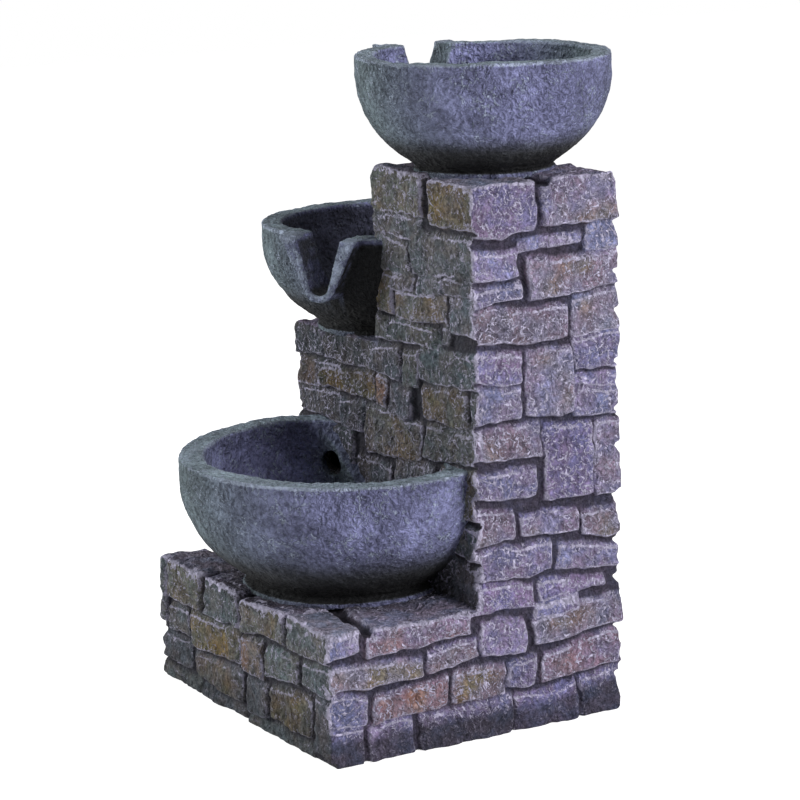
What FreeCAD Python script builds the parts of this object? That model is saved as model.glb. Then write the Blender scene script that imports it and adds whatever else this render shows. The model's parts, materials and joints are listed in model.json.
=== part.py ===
"""Tabletop fountain: a hollow dry-stone casting, three bowls that pour one into the next, and a hidden pump.

Millimetres, +Z up, front towards -Y. The pieces are drawn about the middle of the base and handed out with
the origin on the table under the middle of the whole outline, because the bowls overhang the base unevenly.
"""
import FreeCAD
import Part
import math
import os

V = FreeCAD.Vector

# Casting: a base block with a middle column (left) and a tall column (right) along its back.
BASE_WIDTH = 180.0
BASE_DEPTH = 165.0
BASE_HEIGHT = 65.0
COLUMN_DEPTH = 82.5
TALL_WIDTH = 96.0
MIDDLE_COLUMN_HEIGHT = 180.0
TALL_COLUMN_HEIGHT = 270.0
WALL = 7.0
EDGE_GAP = 1.0

# Dry-stone relief: joints are cut back between the stones, which reach a little past their measured edges.
JOINT_DEPTH = 2.5
JOINT_WIDTH = 3.6
BED_WIDTH = 5.0
SIDE_SPREAD = 0.8
TOP_SPREAD = 1.8
EDGE_REACH = 5.0
COURSE_HEIGHT = 22.5
STONE_LENGTH = 40.0
# Shares of a course and of a stone by which the joints of the unseen sides wander.
COURSE_SWAY = 0.12
STONE_SWAY = 0.2
# Clear strip above the bowls, where the joints stop so that the bowls close tightly against the columns.
BOWL_CLEARANCE = 2.0
# Stones as measured on the photograph, in millimetres on a casting of the drawn size, and stretched with it:
# left, right, low edge at the left and at the right, upper edge at the left and at the right.
DRAWN_SIZE = {"width": 180.0, "depth": 165.0, "base": 65.0, "tall": 270.0}
RIGHT_STONES = [
    (-8, 36, 246, 245, 271, 272), (40, 82, 247, 247, 272, 272), (-8, 26, 226, 224, 238, 236),
    (27, 62, 235, 239, 239, 242), (64, 83, 234, 233, 244, 245), (31, 84, 213, 216, 231, 231),
    (-8, 27, 212, 215, 220, 220), (-8, 54, 194, 193, 210, 207), (57, 84, 193, 192, 210, 212),
    (-8, 27, 176, 174, 189, 188), (-8, 27, 157, 155, 171, 170), (30, 55, 155, 154, 188, 187),
    (57, 83, 175, 174, 191, 190), (56, 83, 167, 166, 171, 171), (56, 83, 152, 152, 164, 164),
    (-8, 37, 139, 135, 151, 150), (-8, 34, 119, 117, 130, 129), (39, 67, 113, 114, 149, 147),
    (69, 83, 112, 111, 147, 147), (-8, 22, 94, 96, 112, 110), (26, 58, 97, 96, 106, 106),
    (61, 83, 93, 90, 104, 104), (-8, 42, 77, 77, 90, 92), (46, 81, 76, 74, 90, 83),
    (-8, 33, 63, 61, 75, 72), (36, 73, 63, 66, 72, 69), (33, 58, 55, 56, 60, 62), (31, 81, 42, 45, 53, 60),
    (2, 27, 40, 39, 57, 54), (37, 83, 22, 24, 35, 41), (16, 33, 22, 23, 33, 36), (-15, 14, 21, 19, 35, 34),
    (20, 56, 0, 0, 17, 19), (59, 83, 0, 0, 18, 21), (-85, -66, 53, 56, 65, 65), (-61, -3, 51, 54, 65, 66),
    (-82, -32, 36, 38, 48, 46), (-29, 0, 38, 41, 48, 50), (-82, -62, 20, 19, 34, 32),
    (-58, -18, 18, 21, 31, 34), (-60, -37, 0, 0, 16, 17), (-33, 18, 0, 0, 18, 17), (-82, -63, 0, 0, 18, 17),
]
COLUMN_STONES = [
    (-14, 43, 247, 249, 270, 271), (50, 92, 246, 249, 271, 270), (-14, 40, 237, 239, 246, 247),
    (-14, 28, 220, 220, 235, 235), (32, 94, 221, 226, 240, 244), (15, 33, 211, 213, 218, 219),
    (37, 61, 211, 215, 220, 222), (64, 92, 214, 217, 222, 224), (17, 63, 196, 201, 210, 214),
    (-14, 14, 197, 198, 217, 217), (68, 94, 197, 196, 213, 215), (-14, 56, 182, 187, 193, 195),
    (59, 66, 190, 191, 197, 198), (-9, 18, 168, 164, 178, 181), (20, 36, 163, 164, 179, 181),
    (38, 90, 168, 174, 184, 189), (40, 83, 150, 152, 164, 169), (85, 92, 151, 151, 169, 170),
    (6, 30, 146, 148, 161, 161), (-7, 3, 149, 148, 165, 163), (-18, 36, 122, 127, 146, 146),
    (40, 90, 129, 137, 146, 151), (-87, -58, 162, 165, 184, 184), (-56, -11, 164, 167, 184, 184),
    (-87, -69, 145, 147, 160, 161), (-67, -39, 157, 159, 161, 162), (-64, -10, 149, 150, 157, 164),
    (-87, -43, 132, 131, 143, 147), (-41, -20, 131, 132, 144, 146),
]
BASE_STONES = [
    (-95, -86, 30, 30, 62, 63), (-83, -45, 44, 45, 64, 64), (-41, -3, 45, 46, 64, 64),
    (1, 44, 47, 49, 63, 63), (48, 92, 50, 50, 63, 63), (-82, -62, 27, 28, 40, 41),
    (-58, -3, 25, 28, 41, 42), (1, 21, 27, 26, 43, 44), (25, 57, 29, 32, 43, 46), (62, 92, 34, 36, 46, 47),
    (-92, -60, 10, 10, 23, 24), (-56, -2, 8, 8, 21, 23), (2, 26, 7, 8, 22, 23), (30, 70, 9, 10, 25, 29),
    (74, 92, 3, 3, 31, 32), (-92, -50, -2, -2, 5, 5), (-46, 0, -2, -2, 4, 4), (4, 70, -2, -2, 4, 5),
]

# Bowls: radius and height outside, wall at the rim, floor on the axis, upright band under the rim.
LOWER_RADIUS = 80.5
LOWER_HEIGHT = 67.4
LOWER_WALL = 12.5
LOWER_BAND = 12.0
LOWER_FOOT_RADIUS = 49.0
LOWER_FOOT_HEIGHT = 8.0
LOWER_OFFSET = 4.5
LOWER_SETBACK = 26.0
MIDDLE_RADIUS = 66.0
MIDDLE_HEIGHT = 55.4
MIDDLE_WALL = 10.5
MIDDLE_BAND = 8.0
MIDDLE_FOOT_RADIUS = 38.0
MIDDLE_FOOT_HEIGHT = 6.0
MIDDLE_OFFSET = -2.0
MIDDLE_SETBACK = 36.0
TOP_RADIUS = 61.5
TOP_HEIGHT = 57.0
TOP_WALL = 9.5
TOP_BAND = 9.0
TOP_FOOT_RADIUS = 33.0
TOP_FOOT_HEIGHT = 5.0
TOP_OFFSET = -2.0
BOWL_FLOOR = 10.0
BOWL_DISH = 1.5
FOOT_STEP = 2.0
RIM_ROUND = 1.5

# Pouring spouts of the middle and top bowls.
SPOUT_BEYOND = 6.0
SPOUT_MOUTH = 24.0
SPOUT_BED = 9.0
SPOUT_DEPTH = 29.0
SPOUT_LIP = 5.0
MIDDLE_SPOUT_ANGLE = -60.0
TOP_SPOUT_ANGLE = 180.0

# Long round-ended return hole from the lower bowl to the pump chamber, at the bowl's back edge.
RETURN_WIDTH = 24.0
RETURN_TALL = 12.0
RETURN_HEIGHT = 46.0
RETURN_INSET = 5.0
RETURN_NOTCH = 8.0

# Pump chamber floor on its ledge.
CHAMBER_PLATE = 6.0
LEDGE_WIDTH = 4.0
LEDGE_HEIGHT = 6.0
BOND_GAP = 0.2

# Underside: plate, corner posts, screws and pads.
PLATE_THICKNESS = 3.0
PLATE_GAP = 0.3
POST_SIZE = 16.0
POST_HEIGHT = 18.0
SCREW_DIAMETER = 3.0
SCREW_LENGTH = 14.0
SCREW_PLAY = 0.2
HEAD_DIAMETER = 6.0
HEAD_HEIGHT = 1.7
PAD_DIAMETER = 24.0
PAD_THICKNESS = 3.5
PAD_INSET_X = 34.0
PAD_INSET_Y = 30.0

# Rear door of the pump chamber.
DOOR_WIDTH = 56.0
DOOR_HEIGHT = 62.0
DOOR_SILL = 75.0
DOOR_LAP = 4.0
DOOR_FLANGE = 2.5
DOOR_PLAY = 0.4
DOOR_SKIRT = 5.0
DOOR_SKIRT_WALL = 2.0
GASKET_THICKNESS = 1.0
GASKET_WIDTH = 3.0
PULL_DIAMETER = 14.0
PULL_LENGTH = 9.0
PULL_NECK = 9.0

# Lead's grommet in the back of the middle column.
GROMMET_DIAMETER = 10.0
GROMMET_FLANGE = 15.0
GROMMET_LIP = 2.0
GROMMET_COLLAR = 8.0
GROMMET_RELIEF = 6.8
GROMMET_BELOW_TOP = 30.0
LEAD_DIAMETER = 5.2

# Outlet fitting in the top bowl, and the hose.
STEM_DIAMETER = 10.0
STEM_PLAY = 0.2
STEM_BELOW_NUT = 3.0
TAIL_DIAMETER = 8.8
TAIL_LENGTH = 16.0
WATER_BORE = 6.4
FLANGE_DIAMETER = 22.0
FLANGE_THICKNESS = 3.0
WASHER_DIAMETER = 20.0
WASHER_THICKNESS = 1.5
NUT_FLATS = 17.0
NUT_HEIGHT = 6.0
THREAD_PLAY = 0.05
HOSE_PLAY = 0.1
HOSE_WALL = 2.0
HOSE_END_GAP = 0.5
CLIP_WALL = 1.0
CLIP_WIDTH = 6.0
CLIP_PLAY = 0.05
CLIP_GAP = 3.0
CLIP_EAR = 4.0
CLIP_FROM_END = 3.0

# Pump: the motor lies along Y with its intake towards the back.
PUMP_CLEARANCE = 1.0
MOTOR_LENGTH = 24.0
HOUSING_WIDTH = 40.0
HOUSING_HEIGHT = 45.0
HOUSING_WALL = 2.0
HOUSING_FLOOR = 4.0
HOUSING_ROUND = 3.0
ROTOR_HEIGHT = 27.0
WELL_DIAMETER = 16.0
WELL_DEPTH = 20.0
WELL_WALL = 1.2
INLET_DIAMETER = 9.0
INLET_HEIGHT = 6.0
INLET_OFFSET = 12.0
CUP_DIAMETER = 13.0
CUP_HEIGHT = 6.0
CUP_NECK = 5.0
CUP_PEG = 3.0
CUP_SPREAD_X = 28.0
CUP_SPREAD_Y = 13.0
CUP_WALL = 1.2

# Motor inside the housing.
CORE_DEPTH = 10.0
CORE_WIDTH = 5.0
CORE_GAP = 1.0
CORE_ABOVE_AXIS = 6.0
CORE_BEHIND_FRONT = 7.0
BOBBIN_WALL = 0.8
WINDING_THICKNESS = 2.0
BOBBIN_LAP = 0.3
WINDING_CLEARANCE = 0.5

# Rotor on its fixed shaft.
SHAFT_DIAMETER = 3.0
RUNNING_PLAY = 0.05
END_PLAY = 0.3
BUSH_THICKNESS = 2.5
FRONT_BUSH_DIAMETER = 8.0
FRONT_BUSH_THICKNESS = 3.0
MAGNET_DIAMETER = 14.4
MAGNET_BEHIND_FRONT = 3.0
IMPELLER_HUB = 9.0
IMPELLER_DIAMETER = 24.0
IMPELLER_DISC = 1.2
IMPELLER_DISC_AT = 1.5
BLADE_COUNT = 6
BLADE_THICKNESS = 1.0
BLADE_FRONT_GAP = 2.0

# Impeller casing, strainer cap, sponge and dial.
VOLUTE_DEPTH = 12.0
VOLUTE_DIAMETER = 35.0
VOLUTE_CHAMBER = 28.0
VOLUTE_FRONT = 2.0
EYE_DIAMETER = 19.0
SPIDER_HUB = 11.0
SPIDER_ARM = 2.0
SPIDER_ARMS = 3
SPIGOT_LENGTH = 14.0
SEAL_SECTION = 1.6
SEAL_PLAY = 0.05
COVER_WALL = 1.6
COVER_DEPTH = 13.0
COVER_PLAY = 0.1
REGISTER_DEPTH = 2.5
REGISTER_WALL = 1.5
SPONGE_PLAY = 0.3
WINDOW_COUNT = 4
WINDOW_SPAN = 42.0
WINDOW_INNER = 5.0
WINDOW_OUTER = 13.0
DIAL_DIAMETER = 29.0
DIAL_THICKNESS = 2.0
DIAL_PLAY = 0.3
DIAL_TAB_WIDTH = 5.0
DIAL_TAB_REACH = 3.0
STUD_DIAMETER = 4.0
STUD_HEAD = 7.0
STUD_HEAD_HEIGHT = 1.2

# Room by which a cutting tool runs past the face that it cuts.
OVERCUT = 1.0

# Places worked out from the sizes above.
x_left = -BASE_WIDTH / 2
x_right = BASE_WIDTH / 2
x_split = x_right - TALL_WIDTH
y_front = -BASE_DEPTH / 2
y_back = BASE_DEPTH / 2
y_face = y_back - COLUMN_DEPTH
inner_left = x_left + WALL
inner_right = x_right - WALL
inner_back = y_back - WALL
inner_face = y_face + WALL
ledge_top = BASE_HEIGHT - WALL
chamber_top = ledge_top + CHAMBER_PLATE
plate_bottom = PAD_THICKNESS
plate_top = plate_bottom + PLATE_THICKNESS
lower_x = LOWER_OFFSET
lower_y = y_face - LOWER_SETBACK
middle_x = (x_left + x_split) / 2 + MIDDLE_OFFSET
middle_y = y_face + MIDDLE_SETBACK
# The top bowl stands over the pump's spigot, and the pump stands close behind the columns' front wall.
pump_x = (x_split + x_right) / 2 + TOP_OFFSET
motor_rear = inner_face + PUMP_CLEARANCE
motor_front = motor_rear + MOTOR_LENGTH
spigot_y = motor_front + VOLUTE_DEPTH / 2
pump_base = chamber_top + CUP_HEIGHT
rotor_z = pump_base + ROTOR_HEIGHT
door_x = (x_split + x_right) / 2
door_sill = BASE_HEIGHT + DOOR_SILL
door_middle = door_sill + DOOR_HEIGHT / 2
shelf_under = MIDDLE_COLUMN_HEIGHT - WALL
roof_under = TALL_COLUMN_HEIGHT - WALL
nut_top = roof_under - WASHER_THICKNESS
stem_bottom = nut_top - NUT_HEIGHT - STEM_BELOW_NUT
fitting_seat = TALL_COLUMN_HEIGHT + BOWL_FLOOR
hose_radius = TAIL_DIAMETER / 2 + HOSE_PLAY
hose_outer = hose_radius + HOSE_WALL
hose_bottom = max(pump_base + HOUSING_HEIGHT, rotor_z + VOLUTE_DIAMETER / 2) + HOSE_END_GAP
hose_top = stem_bottom - HOSE_END_GAP
well_radius = WELL_DIAMETER / 2
well_outer = well_radius + WELL_WALL
magnet_rear = motor_front - WELL_DEPTH + BUSH_THICKNESS + END_PLAY
magnet_front = motor_front - MAGNET_BEHIND_FRONT
volute_front = motor_front + VOLUTE_DEPTH
hub_front = volute_front - FRONT_BUSH_THICKNESS - END_PLAY
cover_front = volute_front + COVER_DEPTH
dial_rear = cover_front + DIAL_PLAY
dial_front = dial_rear + DIAL_THICKNESS
outline_left = min(x_left, middle_x - MIDDLE_RADIUS)
outline_right = max(x_right, pump_x + TOP_RADIUS)
outline_front = min(y_front, lower_y - LOWER_RADIUS)
outline_back = max(y_back, middle_y + MIDDLE_RADIUS, spigot_y + TOP_RADIUS)
to_origin = V(-(outline_left + outline_right) / 2, -(outline_front + outline_back) / 2, 0)


def block(x0, x1, y0, y1, z0, z1):
    """Box between two corners."""
    return Part.makeBox(x1 - x0, y1 - y0, z1 - z0, V(x0, y0, z0))


def upright(x, y, z0, z1, diameter):
    """Vertical cylinder."""
    return Part.makeCylinder(diameter / 2, z1 - z0, V(x, y, z0))


def rod(y0, y1, diameter):
    """Cylinder along the rotor's axis."""
    return Part.makeCylinder(diameter / 2, y1 - y0, V(pump_x, y0, rotor_z), V(0, 1, 0))


def about_rotor(shape, degrees):
    """Copy of a shape turned about the rotor's axis."""
    turned = shape.copy()
    turned.rotate(V(pump_x, 0, rotor_z), V(0, 1, 0), degrees)
    return turned


def mirrored_places(half_x, half_y):
    """The four corners of a rectangle about the origin."""
    return [(sx * half_x, sy * half_y) for sx in (-1, 1) for sy in (-1, 1)]


def ellipse_arc(radius, depth, centre_z, end_z):
    """Quarter-ellipse edge in the XZ plane, from (radius, centre_z) down to the height end_z."""
    centre = V(0, 0, centre_z)
    side = V(radius, 0, centre_z)
    bottom = V(0, 0, centre_z - depth)
    turn = math.asin((centre_z - end_z) / depth)
    if radius >= depth:
        return Part.ArcOfEllipse(Part.Ellipse(side, bottom, centre), 0, turn).toShape()
    return Part.ArcOfEllipse(Part.Ellipse(bottom, side, centre), math.pi / 2 - turn, math.pi / 2).toShape()


def ellipse_radius(radius, depth, centre_z, z):
    """Radius of that quarter ellipse at a height."""
    return radius * math.sqrt(1 - ((centre_z - z) / depth) ** 2)


def line(r0, z0, r1, z1):
    """Straight edge in the XZ plane."""
    return Part.makeLine(V(r0, 0, z0), V(r1, 0, z1))


def turned_solid(edges):
    """Solid turned about the Z axis from a closed outline in the XZ plane."""
    wire = Part.Wire(Part.__sortEdges__(edges))
    return Part.Face(wire).revolve(V(0, 0, 0), V(0, 0, 1), 360)


def bowl_outside(radius, height, band, foot_radius, foot_height):
    """Outer form of a bowl, filled, standing on z = 0 about the Z axis."""
    belly_z = height - band
    shoulder = foot_radius + FOOT_STEP
    depth = (belly_z - foot_height) / math.sqrt(1 - (shoulder / radius) ** 2)
    rim_z = height - RIM_ROUND
    bend = RIM_ROUND * (1 - math.sqrt(0.5))
    rim = Part.Arc(
        V(radius, 0, rim_z), V(radius - bend, 0, height - bend), V(radius - RIM_ROUND, 0, height)
    ).toShape()
    return turned_solid([
        line(0, height, 0, 0),
        line(0, 0, foot_radius, 0),
        line(foot_radius, 0, foot_radius, FOOT_STEP),
        line(foot_radius, FOOT_STEP, shoulder, foot_height),
        ellipse_arc(radius, depth, belly_z, foot_height),
        line(radius, belly_z, radius, rim_z),
        rim,
        line(radius - RIM_ROUND, height, 0, height),
    ])


def bowl_hollow(radius, height, wall, band):
    """Inside of the same bowl, with a flat floor on the axis."""
    inner = radius - wall
    belly_z = height - band
    depth = belly_z - BOWL_FLOOR + BOWL_DISH
    flat = ellipse_radius(inner, depth, belly_z, BOWL_FLOOR)
    top = height + OVERCUT
    return turned_solid([
        line(0, top, 0, BOWL_FLOOR),
        line(0, BOWL_FLOOR, flat, BOWL_FLOOR),
        ellipse_arc(inner, depth, belly_z, BOWL_FLOOR),
        line(inner, belly_z, inner, top),
        line(inner, top, 0, top),
    ])


def vee_bar(start, end, top_z, top_width, bed_z, bed_width):
    """Bar along +X with a tapered section, wide at the top and narrow at its bed."""
    half_top = top_width / 2
    half_bed = bed_width / 2
    outline = [
        V(start, -half_top, top_z), V(start, -half_bed, bed_z), V(start, half_bed, bed_z),
        V(start, half_top, top_z), V(start, -half_top, top_z),
    ]
    return Part.Face(Part.makePolygon(outline)).extrude(V(end - start, 0, 0))


def spouted_bowl(radius, height, wall, band, foot_radius, foot_height, angle):
    """Bowl with a pouring spout that points at an angle from +X."""
    reach = radius + SPOUT_BEYOND
    start = radius - 2 * wall
    bed_z = height - SPOUT_DEPTH
    flare = (SPOUT_MOUTH - SPOUT_BED) / SPOUT_DEPTH
    beak_width = SPOUT_MOUTH + 2 * SPOUT_LIP
    beak = vee_bar(start, reach, height, beak_width, bed_z - SPOUT_LIP, SPOUT_BED + SPOUT_LIP)
    channel = vee_bar(
        start - wall, reach + OVERCUT, height + OVERCUT, SPOUT_MOUTH + flare * OVERCUT, bed_z, SPOUT_BED
    )
    bowl = bowl_outside(radius, height, band, foot_radius, foot_height).fuse(beak)
    bowl = bowl.cut(bowl_hollow(radius, height, wall, band)).cut(channel).removeSplitter()
    bowl.rotate(V(0, 0, 0), V(0, 0, 1), angle)
    return bowl


def placed(shape, x, y, z):
    """The shape moved to a place."""
    shape.translate(V(x, y, z))
    return shape


def return_hole():
    """Hole through the columns' front wall, which also notches the lower bowl's back edge."""
    inner = LOWER_RADIUS - LOWER_WALL
    belly_z = LOWER_HEIGHT - LOWER_BAND
    depth = belly_z - BOWL_FLOOR + BOWL_DISH
    wall_radius = ellipse_radius(inner, depth, belly_z, RETURN_HEIGHT)
    half_chord = math.sqrt(wall_radius ** 2 - LOWER_SETBACK ** 2)
    x = lower_x - half_chord + RETURN_INSET
    z = BASE_HEIGHT + RETURN_HEIGHT
    half_run = (RETURN_WIDTH - RETURN_TALL) / 2
    half_tall = RETURN_TALL / 2
    front = y_face - RETURN_NOTCH
    back = inner_face + OVERCUT
    slot = block(x - half_run, x + half_run, front, back, z - half_tall, z + half_tall)
    ends = [backward(V(x + side * half_run, 0, z), front, back, RETURN_TALL) for side in (-1, 1)]
    return slot.fuse(ends).removeSplitter()


def through_fitting_hole(z0, z1):
    """Hole for the outlet fitting's stem."""
    return upright(pump_x, spigot_y, z0, z1, STEM_DIAMETER + 2 * STEM_PLAY)


def door_frame(grow, y0, y1):
    """Block over the door opening, larger than it by grow on each side."""
    half_width = DOOR_WIDTH / 2 + grow
    half_height = DOOR_HEIGHT / 2 + grow
    return block(
        door_x - half_width, door_x + half_width, y0, y1,
        door_middle - half_height, door_middle + half_height,
    )


def grommet_place():
    """Middle of the grommet's hole on the back face."""
    return V((x_left + x_split) / 2, y_back, MIDDLE_COLUMN_HEIGHT - GROMMET_BELOW_TOP)


def backward(place, y0, y1, diameter):
    """Cylinder along Y through a place, from y0 to y1."""
    return Part.makeCylinder(diameter / 2, y1 - y0, V(place.x, y0, place.z), V(0, 1, 0))


def screw_places():
    """Middles of the corner posts under the casting."""
    return mirrored_places(inner_right - POST_SIZE / 2, BASE_DEPTH / 2 - WALL - POST_SIZE / 2)


def stretched(stones, along):
    """Measured stones on the casting's real size."""
    wide = {"width": BASE_WIDTH, "depth": BASE_DEPTH}[along] / DRAWN_SIZE[along]
    drawn_base = DRAWN_SIZE["base"]
    upper = (TALL_COLUMN_HEIGHT - BASE_HEIGHT) / (DRAWN_SIZE["tall"] - drawn_base)

    def height(z):
        return z * BASE_HEIGHT / drawn_base if z < drawn_base else BASE_HEIGHT + (z - drawn_base) * upper

    return [(u0 * wide, u1 * wide, *[height(z) for z in edges]) for u0, u1, *edges in stones]


def courses(left, right, low, high, phase):
    """Courses of stones by rule, for a side that the photograph doesn't show."""
    rows = max(1, round((high - low) / COURSE_HEIGHT))
    tall = (high - low) / rows
    count = max(1, round((right - left) / STONE_LENGTH))
    long = (right - left) / count

    def bed(row):
        inner = 0 < row < rows
        return low + row * tall + inner * COURSE_SWAY * tall * math.sin(2.1 * row + phase)

    def head(row, n):
        return left + (n - row % 2 / 2) * long + STONE_SWAY * long * math.sin(1.7 * n + 2.6 * row + phase)

    stones = []
    for row in range(rows):
        for n in range(count + row % 2):
            start = left if n == 0 else head(row, n)
            end = right if n == count + row % 2 - 1 else head(row, n + 1)
            top = bed(row + 1) - BED_WIDTH
            stones.append((start + JOINT_WIDTH / 2, end - JOINT_WIDTH / 2, bed(row), bed(row), top, top))
    return stones


def outlined(stone, span, rise):
    """Corners of a stone, which runs past the side's edges where it comes close to them."""
    left, right, low_left, low_right, top_left, top_right = stone
    beyond = JOINT_DEPTH + EDGE_REACH
    left = span[0] - beyond if left - span[0] < EDGE_REACH else left - SIDE_SPREAD
    right = span[1] + beyond if span[1] - right < EDGE_REACH else right + SIDE_SPREAD
    lows = [rise[0] - beyond if z - rise[0] < EDGE_REACH else z for z in (low_left, low_right)]
    tops = [rise[1] + beyond if rise[1] - z < EDGE_REACH else z + TOP_SPREAD for z in (top_left, top_right)]
    return [(left, lows[0]), (right, lows[1]), (right, tops[1]), (left, tops[0])]


def joints(on_side, span, rise, stones, start=None, flats=()):
    """Joints of one side: its area from a starting height up, less its stones, cut back into the wall."""
    bottom = rise[0] - OVERCUT if start is None else start
    edge = [span[0] - OVERCUT, span[1] + OVERCUT, rise[1] + OVERCUT]

    def sheet(corners):
        return Part.Face(Part.makePolygon([on_side(u, z, -OVERCUT) for u, z in corners + corners[:1]]))

    area = sheet([(edge[0], bottom), (edge[1], bottom), (edge[1], edge[2]), (edge[0], edge[2])])
    kept = [sheet(outlined(stone, span, rise)) for stone in stones]
    kept += [sheet([(u0, z0), (u1, z0), (u1, z1), (u0, z1)]) for u0, u1, z0, z1 in flats]
    inward = on_side(0, 0, JOINT_DEPTH) - on_side(0, 0, -OVERCUT)
    return area.cut(kept).extrude(inward)


def stone_joints():
    """Joints of all sides of the casting."""
    deep = (y_front, y_back)
    wide = (x_left, x_right)
    columns = (y_face, y_back)
    whole = (0, TALL_COLUMN_HEIGHT)
    above_lower = BASE_HEIGHT + LOWER_HEIGHT + BOWL_CLEARANCE
    above_middle = MIDDLE_COLUMN_HEIGHT + MIDDLE_HEIGHT + BOWL_CLEARANCE
    split_rise = (MIDDLE_COLUMN_HEIGHT, TALL_COLUMN_HEIGHT)
    around_door = DOOR_LAP + BOWL_CLEARANCE
    seat = GROMMET_FLANGE / 2 + BOWL_CLEARANCE
    hole = grommet_place()
    flats = [
        (door_x - DOOR_WIDTH / 2 - around_door, door_x + DOOR_WIDTH / 2 + around_door,
         door_sill - around_door, door_sill + DOOR_HEIGHT + around_door),
        (hole.x - seat, hole.x + seat, hole.z - seat, hole.z + seat),
    ]
    return [
        joints(lambda u, z, d: V(x_right - d, u, z), deep, whole, stretched(RIGHT_STONES, "depth")),
        joints(lambda u, z, d: V(u, y_face + d, z), wide, whole, stretched(COLUMN_STONES, "width"),
               above_lower),
        joints(lambda u, z, d: V(u, y_front + d, z), wide, (0, BASE_HEIGHT),
               stretched(BASE_STONES, "width")),
        joints(lambda u, z, d: V(x_left + d, u, z), deep, (0, MIDDLE_COLUMN_HEIGHT),
               courses(*deep, 0, MIDDLE_COLUMN_HEIGHT, 0)),
        joints(lambda u, z, d: V(x_split + d, u, z), columns, split_rise, courses(*columns, *split_rise, 1),
               above_middle),
        joints(lambda u, z, d: V(u, y_back - d, z), wide, whole, courses(*wide, *whole, 2), flats=flats),
    ]


def stone_body():
    body = block(x_left, x_right, y_front, y_back, EDGE_GAP, BASE_HEIGHT)
    body = body.fuse(block(x_left, x_right, y_face, y_back, EDGE_GAP, MIDDLE_COLUMN_HEIGHT))
    body = body.fuse(block(x_split, x_right, y_face, y_back, EDGE_GAP, TALL_COLUMN_HEIGHT)).removeSplitter()
    for cut in stone_joints():
        body = body.cut(cut)
    hollow = block(inner_left, inner_right, y_front + WALL, inner_back, EDGE_GAP - OVERCUT, ledge_top)
    hollow = hollow.fuse(block(inner_left, inner_right, inner_face, inner_back, EDGE_GAP, shelf_under))
    hollow = hollow.fuse(block(x_split + WALL, inner_right, inner_face, inner_back, EDGE_GAP, roof_under))
    body = body.cut(hollow)
    ledge = block(inner_left, inner_right, y_face, inner_back, ledge_top - LEDGE_HEIGHT, ledge_top)
    ledge = ledge.cut(block(
        inner_left + LEDGE_WIDTH, inner_right - LEDGE_WIDTH,
        inner_face + LEDGE_WIDTH, inner_back - LEDGE_WIDTH,
        ledge_top - LEDGE_HEIGHT - OVERCUT, ledge_top + OVERCUT,
    ))
    posts = []
    for x, y in screw_places():
        half = POST_SIZE / 2
        post = block(x - half, x + half, y - half, y + half, plate_top, plate_top + POST_HEIGHT)
        posts.append(post.cut(upright(x, y, plate_top - OVERCUT, plate_top + SCREW_LENGTH, SCREW_DIAMETER)))
    body = body.fuse([ledge] + posts)
    cuts = [
        return_hole(),
        through_fitting_hole(roof_under - OVERCUT, TALL_COLUMN_HEIGHT + OVERCUT),
        door_frame(0, inner_back - OVERCUT, y_back + OVERCUT),
        door_frame(DOOR_LAP, y_back - DOOR_FLANGE - GASKET_THICKNESS, y_back + OVERCUT),
        backward(grommet_place(), inner_back - OVERCUT, y_back + OVERCUT, GROMMET_DIAMETER),
    ]
    return body.cut(cuts).removeSplitter()


def columns_block():
    """Space of both columns, which the lower and middle bowls stop against."""
    tall = block(x_split, x_right, y_face, y_back, EDGE_GAP, TALL_COLUMN_HEIGHT)
    return tall.fuse(block(x_left, x_right, y_face, y_back, EDGE_GAP, MIDDLE_COLUMN_HEIGHT))


def lower_bowl():
    bowl = bowl_outside(LOWER_RADIUS, LOWER_HEIGHT, LOWER_BAND, LOWER_FOOT_RADIUS, LOWER_FOOT_HEIGHT)
    bowl = bowl.cut(bowl_hollow(LOWER_RADIUS, LOWER_HEIGHT, LOWER_WALL, LOWER_BAND))
    bowl = placed(bowl, lower_x, lower_y, BASE_HEIGHT)
    return bowl.cut(columns_block()).cut(return_hole())


def middle_bowl():
    bowl = spouted_bowl(
        MIDDLE_RADIUS, MIDDLE_HEIGHT, MIDDLE_WALL, MIDDLE_BAND,
        MIDDLE_FOOT_RADIUS, MIDDLE_FOOT_HEIGHT, MIDDLE_SPOUT_ANGLE,
    )
    return placed(bowl, middle_x, middle_y, MIDDLE_COLUMN_HEIGHT).cut(columns_block())


def top_bowl():
    bowl = spouted_bowl(
        TOP_RADIUS, TOP_HEIGHT, TOP_WALL, TOP_BAND, TOP_FOOT_RADIUS, TOP_FOOT_HEIGHT, TOP_SPOUT_ANGLE
    )
    bowl = placed(bowl, pump_x, spigot_y, TALL_COLUMN_HEIGHT)
    return bowl.cut(through_fitting_hole(TALL_COLUMN_HEIGHT - OVERCUT, fitting_seat + OVERCUT))


def chamber_floor():
    return block(
        inner_left + BOND_GAP, inner_right - BOND_GAP, inner_face + BOND_GAP, inner_back - BOND_GAP,
        ledge_top, chamber_top,
    )


def bottom_plate():
    plate = block(
        inner_left + PLATE_GAP, inner_right - PLATE_GAP,
        y_front + WALL + PLATE_GAP, inner_back - PLATE_GAP, plate_bottom, plate_top,
    )
    hole = SCREW_DIAMETER + 2 * SCREW_PLAY
    return plate.cut([
        upright(x, y, plate_bottom - OVERCUT, plate_top + OVERCUT, hole) for x, y in screw_places()
    ])


def plate_screws():
    screws = []
    for x, y in screw_places():
        head = upright(x, y, plate_bottom - HEAD_HEIGHT, plate_bottom, HEAD_DIAMETER)
        shank = upright(x, y, plate_bottom, plate_bottom + SCREW_LENGTH, SCREW_DIAMETER)
        screws.append(head.fuse(shank).removeSplitter())
    return Part.makeCompound(screws)


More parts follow.
